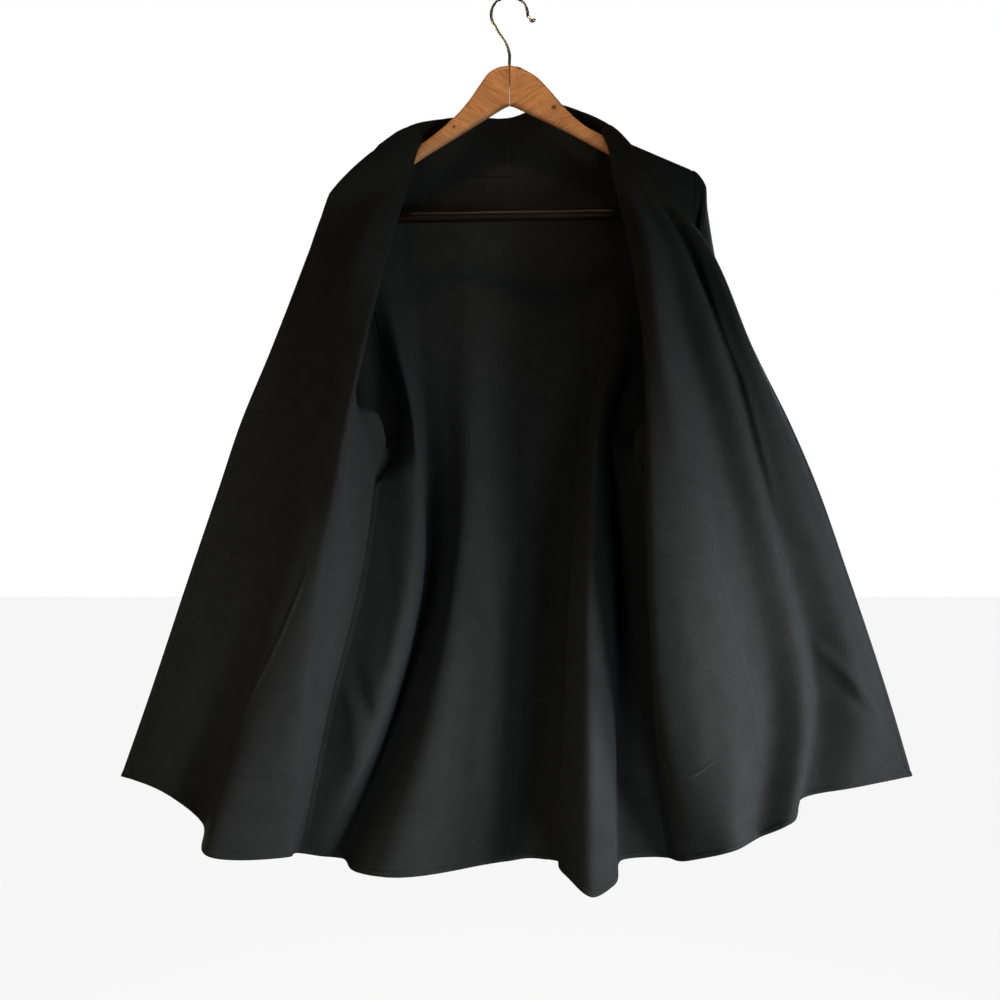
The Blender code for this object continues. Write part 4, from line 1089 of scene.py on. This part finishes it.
print("stage: hanger")
dressed = []
for side, profile, line, sign, paint in (("right", armRight, restRight, -1, cedarRight),
                                         ("left", armLeft, restLeft, 1, cedarLeft)):
    arm = hangerArm(f"arm_{side}", profile, line, sign, paint)
    dressed.append((arm, f"hanger_arm_{side}", "cedar"))
(x0, z0), (x1, z1) = bar["ends"]
count = bar["steps"]
rod = np.stack([np.linspace(x0, x1, count), np.zeros(count), np.linspace(z0, z1, count)], axis=1)
rodPiece = tube("bar_rod", rod, np.full(count, bar["radius"]), darkWood, bar["sides"])
dressed += [(rodPiece, "hanger_bar", "dark_wood"), (hookPiece("hook_wire", nickel), "hanger_hook", "nickel")]

print("stage: panels")
sides = {"right": (frontRight, frontLeft, backRight, restRight, sleeveRight, pocketRight),
         "left": (frontLeft, frontRight, backLeft, restLeft, sleeveLeft, pocketLeft)}
frontLines, backLines = {}, {}
for side, (front, other, back, line, _, _) in sides.items():
    table = frontTable(front["folds"], front["neck"], other["neck"], line)
    frontLines[side] = foldCurves(table, allRows, len(front["folds"]) - 1)
    backLines[side] = foldCurves(backTable(back["folds"], back["top"], line), lowRows, len(back["folds"]) - 1)

sheets, made = [], {}
for side, (front, _, back, _, sleeve, pocket) in sides.items():
    across = "left" if side == "right" else "right"
    frontMade = frontPanel(f"panel_front_{side}", front, frontLines[side], backLines[side][:, -2], wool)
    roll = list(front["folds"]).index("roll")
    neckCurve = frontLines[side][neckRow:, roll][::-1]
    backMade = backPanel(f"panel_back_{side}", back, backLines[side], frontLines[side][:len(lowRows), -2],
                         backLines[across][:, 1], neckCurve, wool)
    sleeveMade = sleevePiece(f"panel_sleeve_{side}", sleeve, frontMade, backMade, wool)
    bag = pocketPiece(f"panel_pocket_{side}", pocket, frontMade, pocketing)
    made[side] = {"front": frontMade, "back": backMade, "sleeve": sleeveMade}
    dressed += [(frontMade["piece"], f"front_{side}", "wool"), (backMade["piece"], f"back_{side}", "wool"),
                (sleeveMade["piece"], f"sleeve_{side}", "wool"), (bag, f"pocket_bag_{side}", "pocketing")]
    for panel in (frontMade, backMade):
        wide, long = (float(runs(panel["grid"] * mm, axis)[:neckRow].max()) for axis in (1, 0))
        sheets.append((panel["piece"], wide, long, f"hanger_arm_{side}"))
    grid = sleeveMade["grid"] * mm
    ringWide = np.linalg.norm(np.roll(grid, -1, axis=1) - grid, axis=2).sum(axis=1).max()
    sheets.append((sleeveMade["piece"], float(ringWide), float(runs(grid, 0).max()), f"front_{side}"))
    sheets.append((bag, *flatSize(bag), f"front_{side}"))

for piece, node, slot in dressed:
    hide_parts(node)
    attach(piece, "root")

for piece, wide, long, on in sheets:
    area = halfArea(piece)
    print("sheet", piece.name, round(wide, 3), round(long, 3), round(area, 4))
    min(area, wide * long)

print("stage: stitches")
for side, panels in made.items():
    for part, edges in (("front", (0, 1)), ("back", (1,)), ("sleeve", (2,))):
        panel = panels[part]
        stitches = stitchPiece(f"stitches_{part}_{side}", [edgeStitches(panel, edge) for edge in edges], thread)
        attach(stitches, "root")
for name, (side, part, fold, level, turn) in tacks.items():
    tack = stitchPiece(name, [tackPlaces(made[side][part], fold, level, turn)], thread, 2.6, 0.28, math.pi / 2)
    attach(tack, "root")

print("stage: room")

floorLook = {"half": 14.0, "height": -1.8, "base": (0.06, 0.06, 0.06, 1), "shine": 0.92}


def floorPiece(look):
    # a flat square well below the hem, which shines white by itself and throws no light on the black cloth
    half = look["half"]
    corners = ((-half, -half), (half, -half), (half, half), (-half, half))
    points = np.array([(x, y, look["height"]) for x, y in corners])
    paint = Paint("floor", Roughness=0.9, Base_Color=look["base"], Emission_Color=(1, 1, 1, 1),
                  Emission_Strength=look["shine"], Specular_IOR_Level=0.0)
    piece = meshPiece("floor", points, [(0, 1, 2, 3)], paint.material)
    piece.visible_diffuse = piece.visible_glossy = False
    return piece


# Metres, watts and degrees. The windows and the door are cool, the lamps at the side and above are warm, and
# the two behind are for the views from the back
lamps = {
    "windowRight": {"place": (1.12, -1.12, -0.82), "target": (0.24, 0, -0.80), "size": 0.5, "power": 3.9,
                    "spread": 50, "colour": (0.80, 0.93, 1.0)},
    "windowSide": {"place": (1.44, -0.67, -0.82), "target": (-0.16, 0, -0.86), "size": 0.5, "power": 3.0,
                   "spread": 42, "colour": (0.82, 0.93, 1.0)},
    "windowLow": {"place": (0.59, -1.26, -1.40), "target": (0.20, 0, -0.82), "size": 0.5, "power": 1.1,
                  "spread": 50, "colour": (0.78, 0.92, 1.0)},
    "windowLeft": {"place": (-0.54, -1.49, -0.82), "target": (-0.08, 0, -0.85), "size": 0.5, "power": 0.7,
                   "spread": 50, "colour": (0.88, 0.95, 0.96)},
    "doorLow": {"place": (-0.90, -1.07, -1.58), "target": (0, 0, -0.6), "size": 0.7, "power": 1.6,
                "spread": 180, "colour": (0.90, 0.96, 1.0)},
    "lampSide": {"place": (-1.45, -0.84, -0.30), "target": (0, 0, -0.6), "size": 0.7, "power": 4.9,
                 "spread": 180, "colour": (1.0, 0.84, 0.46)},
    "above": {"place": (0.02, -0.80, 0.85), "target": (0.0, 0, -0.10), "size": 0.22, "power": 0.085,
              "spread": 15, "colour": (1.0, 0.84, 0.55)},
    "behindLeft": {"place": (1.15, 1.55, -0.15), "target": (0, 0.05, -0.55), "size": 1.0, "power": 30.0,
                   "spread": 180, "colour": (0.94, 0.97, 1.0)},
    "behindRight": {"place": (-1.35, 1.25, -0.45), "target": (0, 0.05, -0.6), "size": 1.0, "power": 17.0,
                    "spread": 180, "colour": (1.0, 0.94, 0.86)},
}


def lamp(name, look):
    # a round lamp that faces its target
    light = bpy.data.lights.new(name, "AREA")
    light.shape, light.size, light.energy, light.color = "DISK", look["size"], look["power"], look["colour"]
    light.spread = math.radians(look["spread"])
    thing = bpy.data.objects.new(name, light)
    bpy.context.scene.collection.objects.link(thing)
    thing.location = look["place"]
    way = Vector(look["target"]) - Vector(look["place"])
    thing.rotation_euler = way.to_track_quat("-Z", "Y").to_euler()


floorPiece(floorLook)
for name, look in lamps.items():
    lamp(name, look)

# The background is white to the camera but gives the coat only a little light
backdrop = {"given": 0.006, "seen": 1.0}
world = bpy.data.worlds.new("room")
bpy.context.scene.world = world
world.use_nodes = True
sky = world.node_tree
seen = sky.nodes.new("ShaderNodeLightPath")
strength = sky.nodes.new("ShaderNodeMix")
strength.inputs[2].default_value, strength.inputs[3].default_value = backdrop["given"], backdrop["seen"]
sky.links.new(seen.outputs["Is Camera Ray"], strength.inputs[0])
sky.links.new(strength.outputs[0], sky.nodes["Background"].inputs["Strength"])
sky.nodes["Background"].inputs["Color"].default_value = (1.0, 1.0, 1.0, 1)
bpy.context.scene.view_settings.view_transform = "Standard"

view = bpy.data.cameras.new("camera")
view.lens, view.sensor_width, view.clip_start = camera["lens"], camera["sensor"], camera["near"]
viewer = bpy.data.objects.new("camera", view)
bpy.context.scene.collection.objects.link(viewer)
viewer.location, viewer.rotation_euler = camera["place"], (math.pi / 2, 0, 0)
bpy.context.scene.camera = viewer
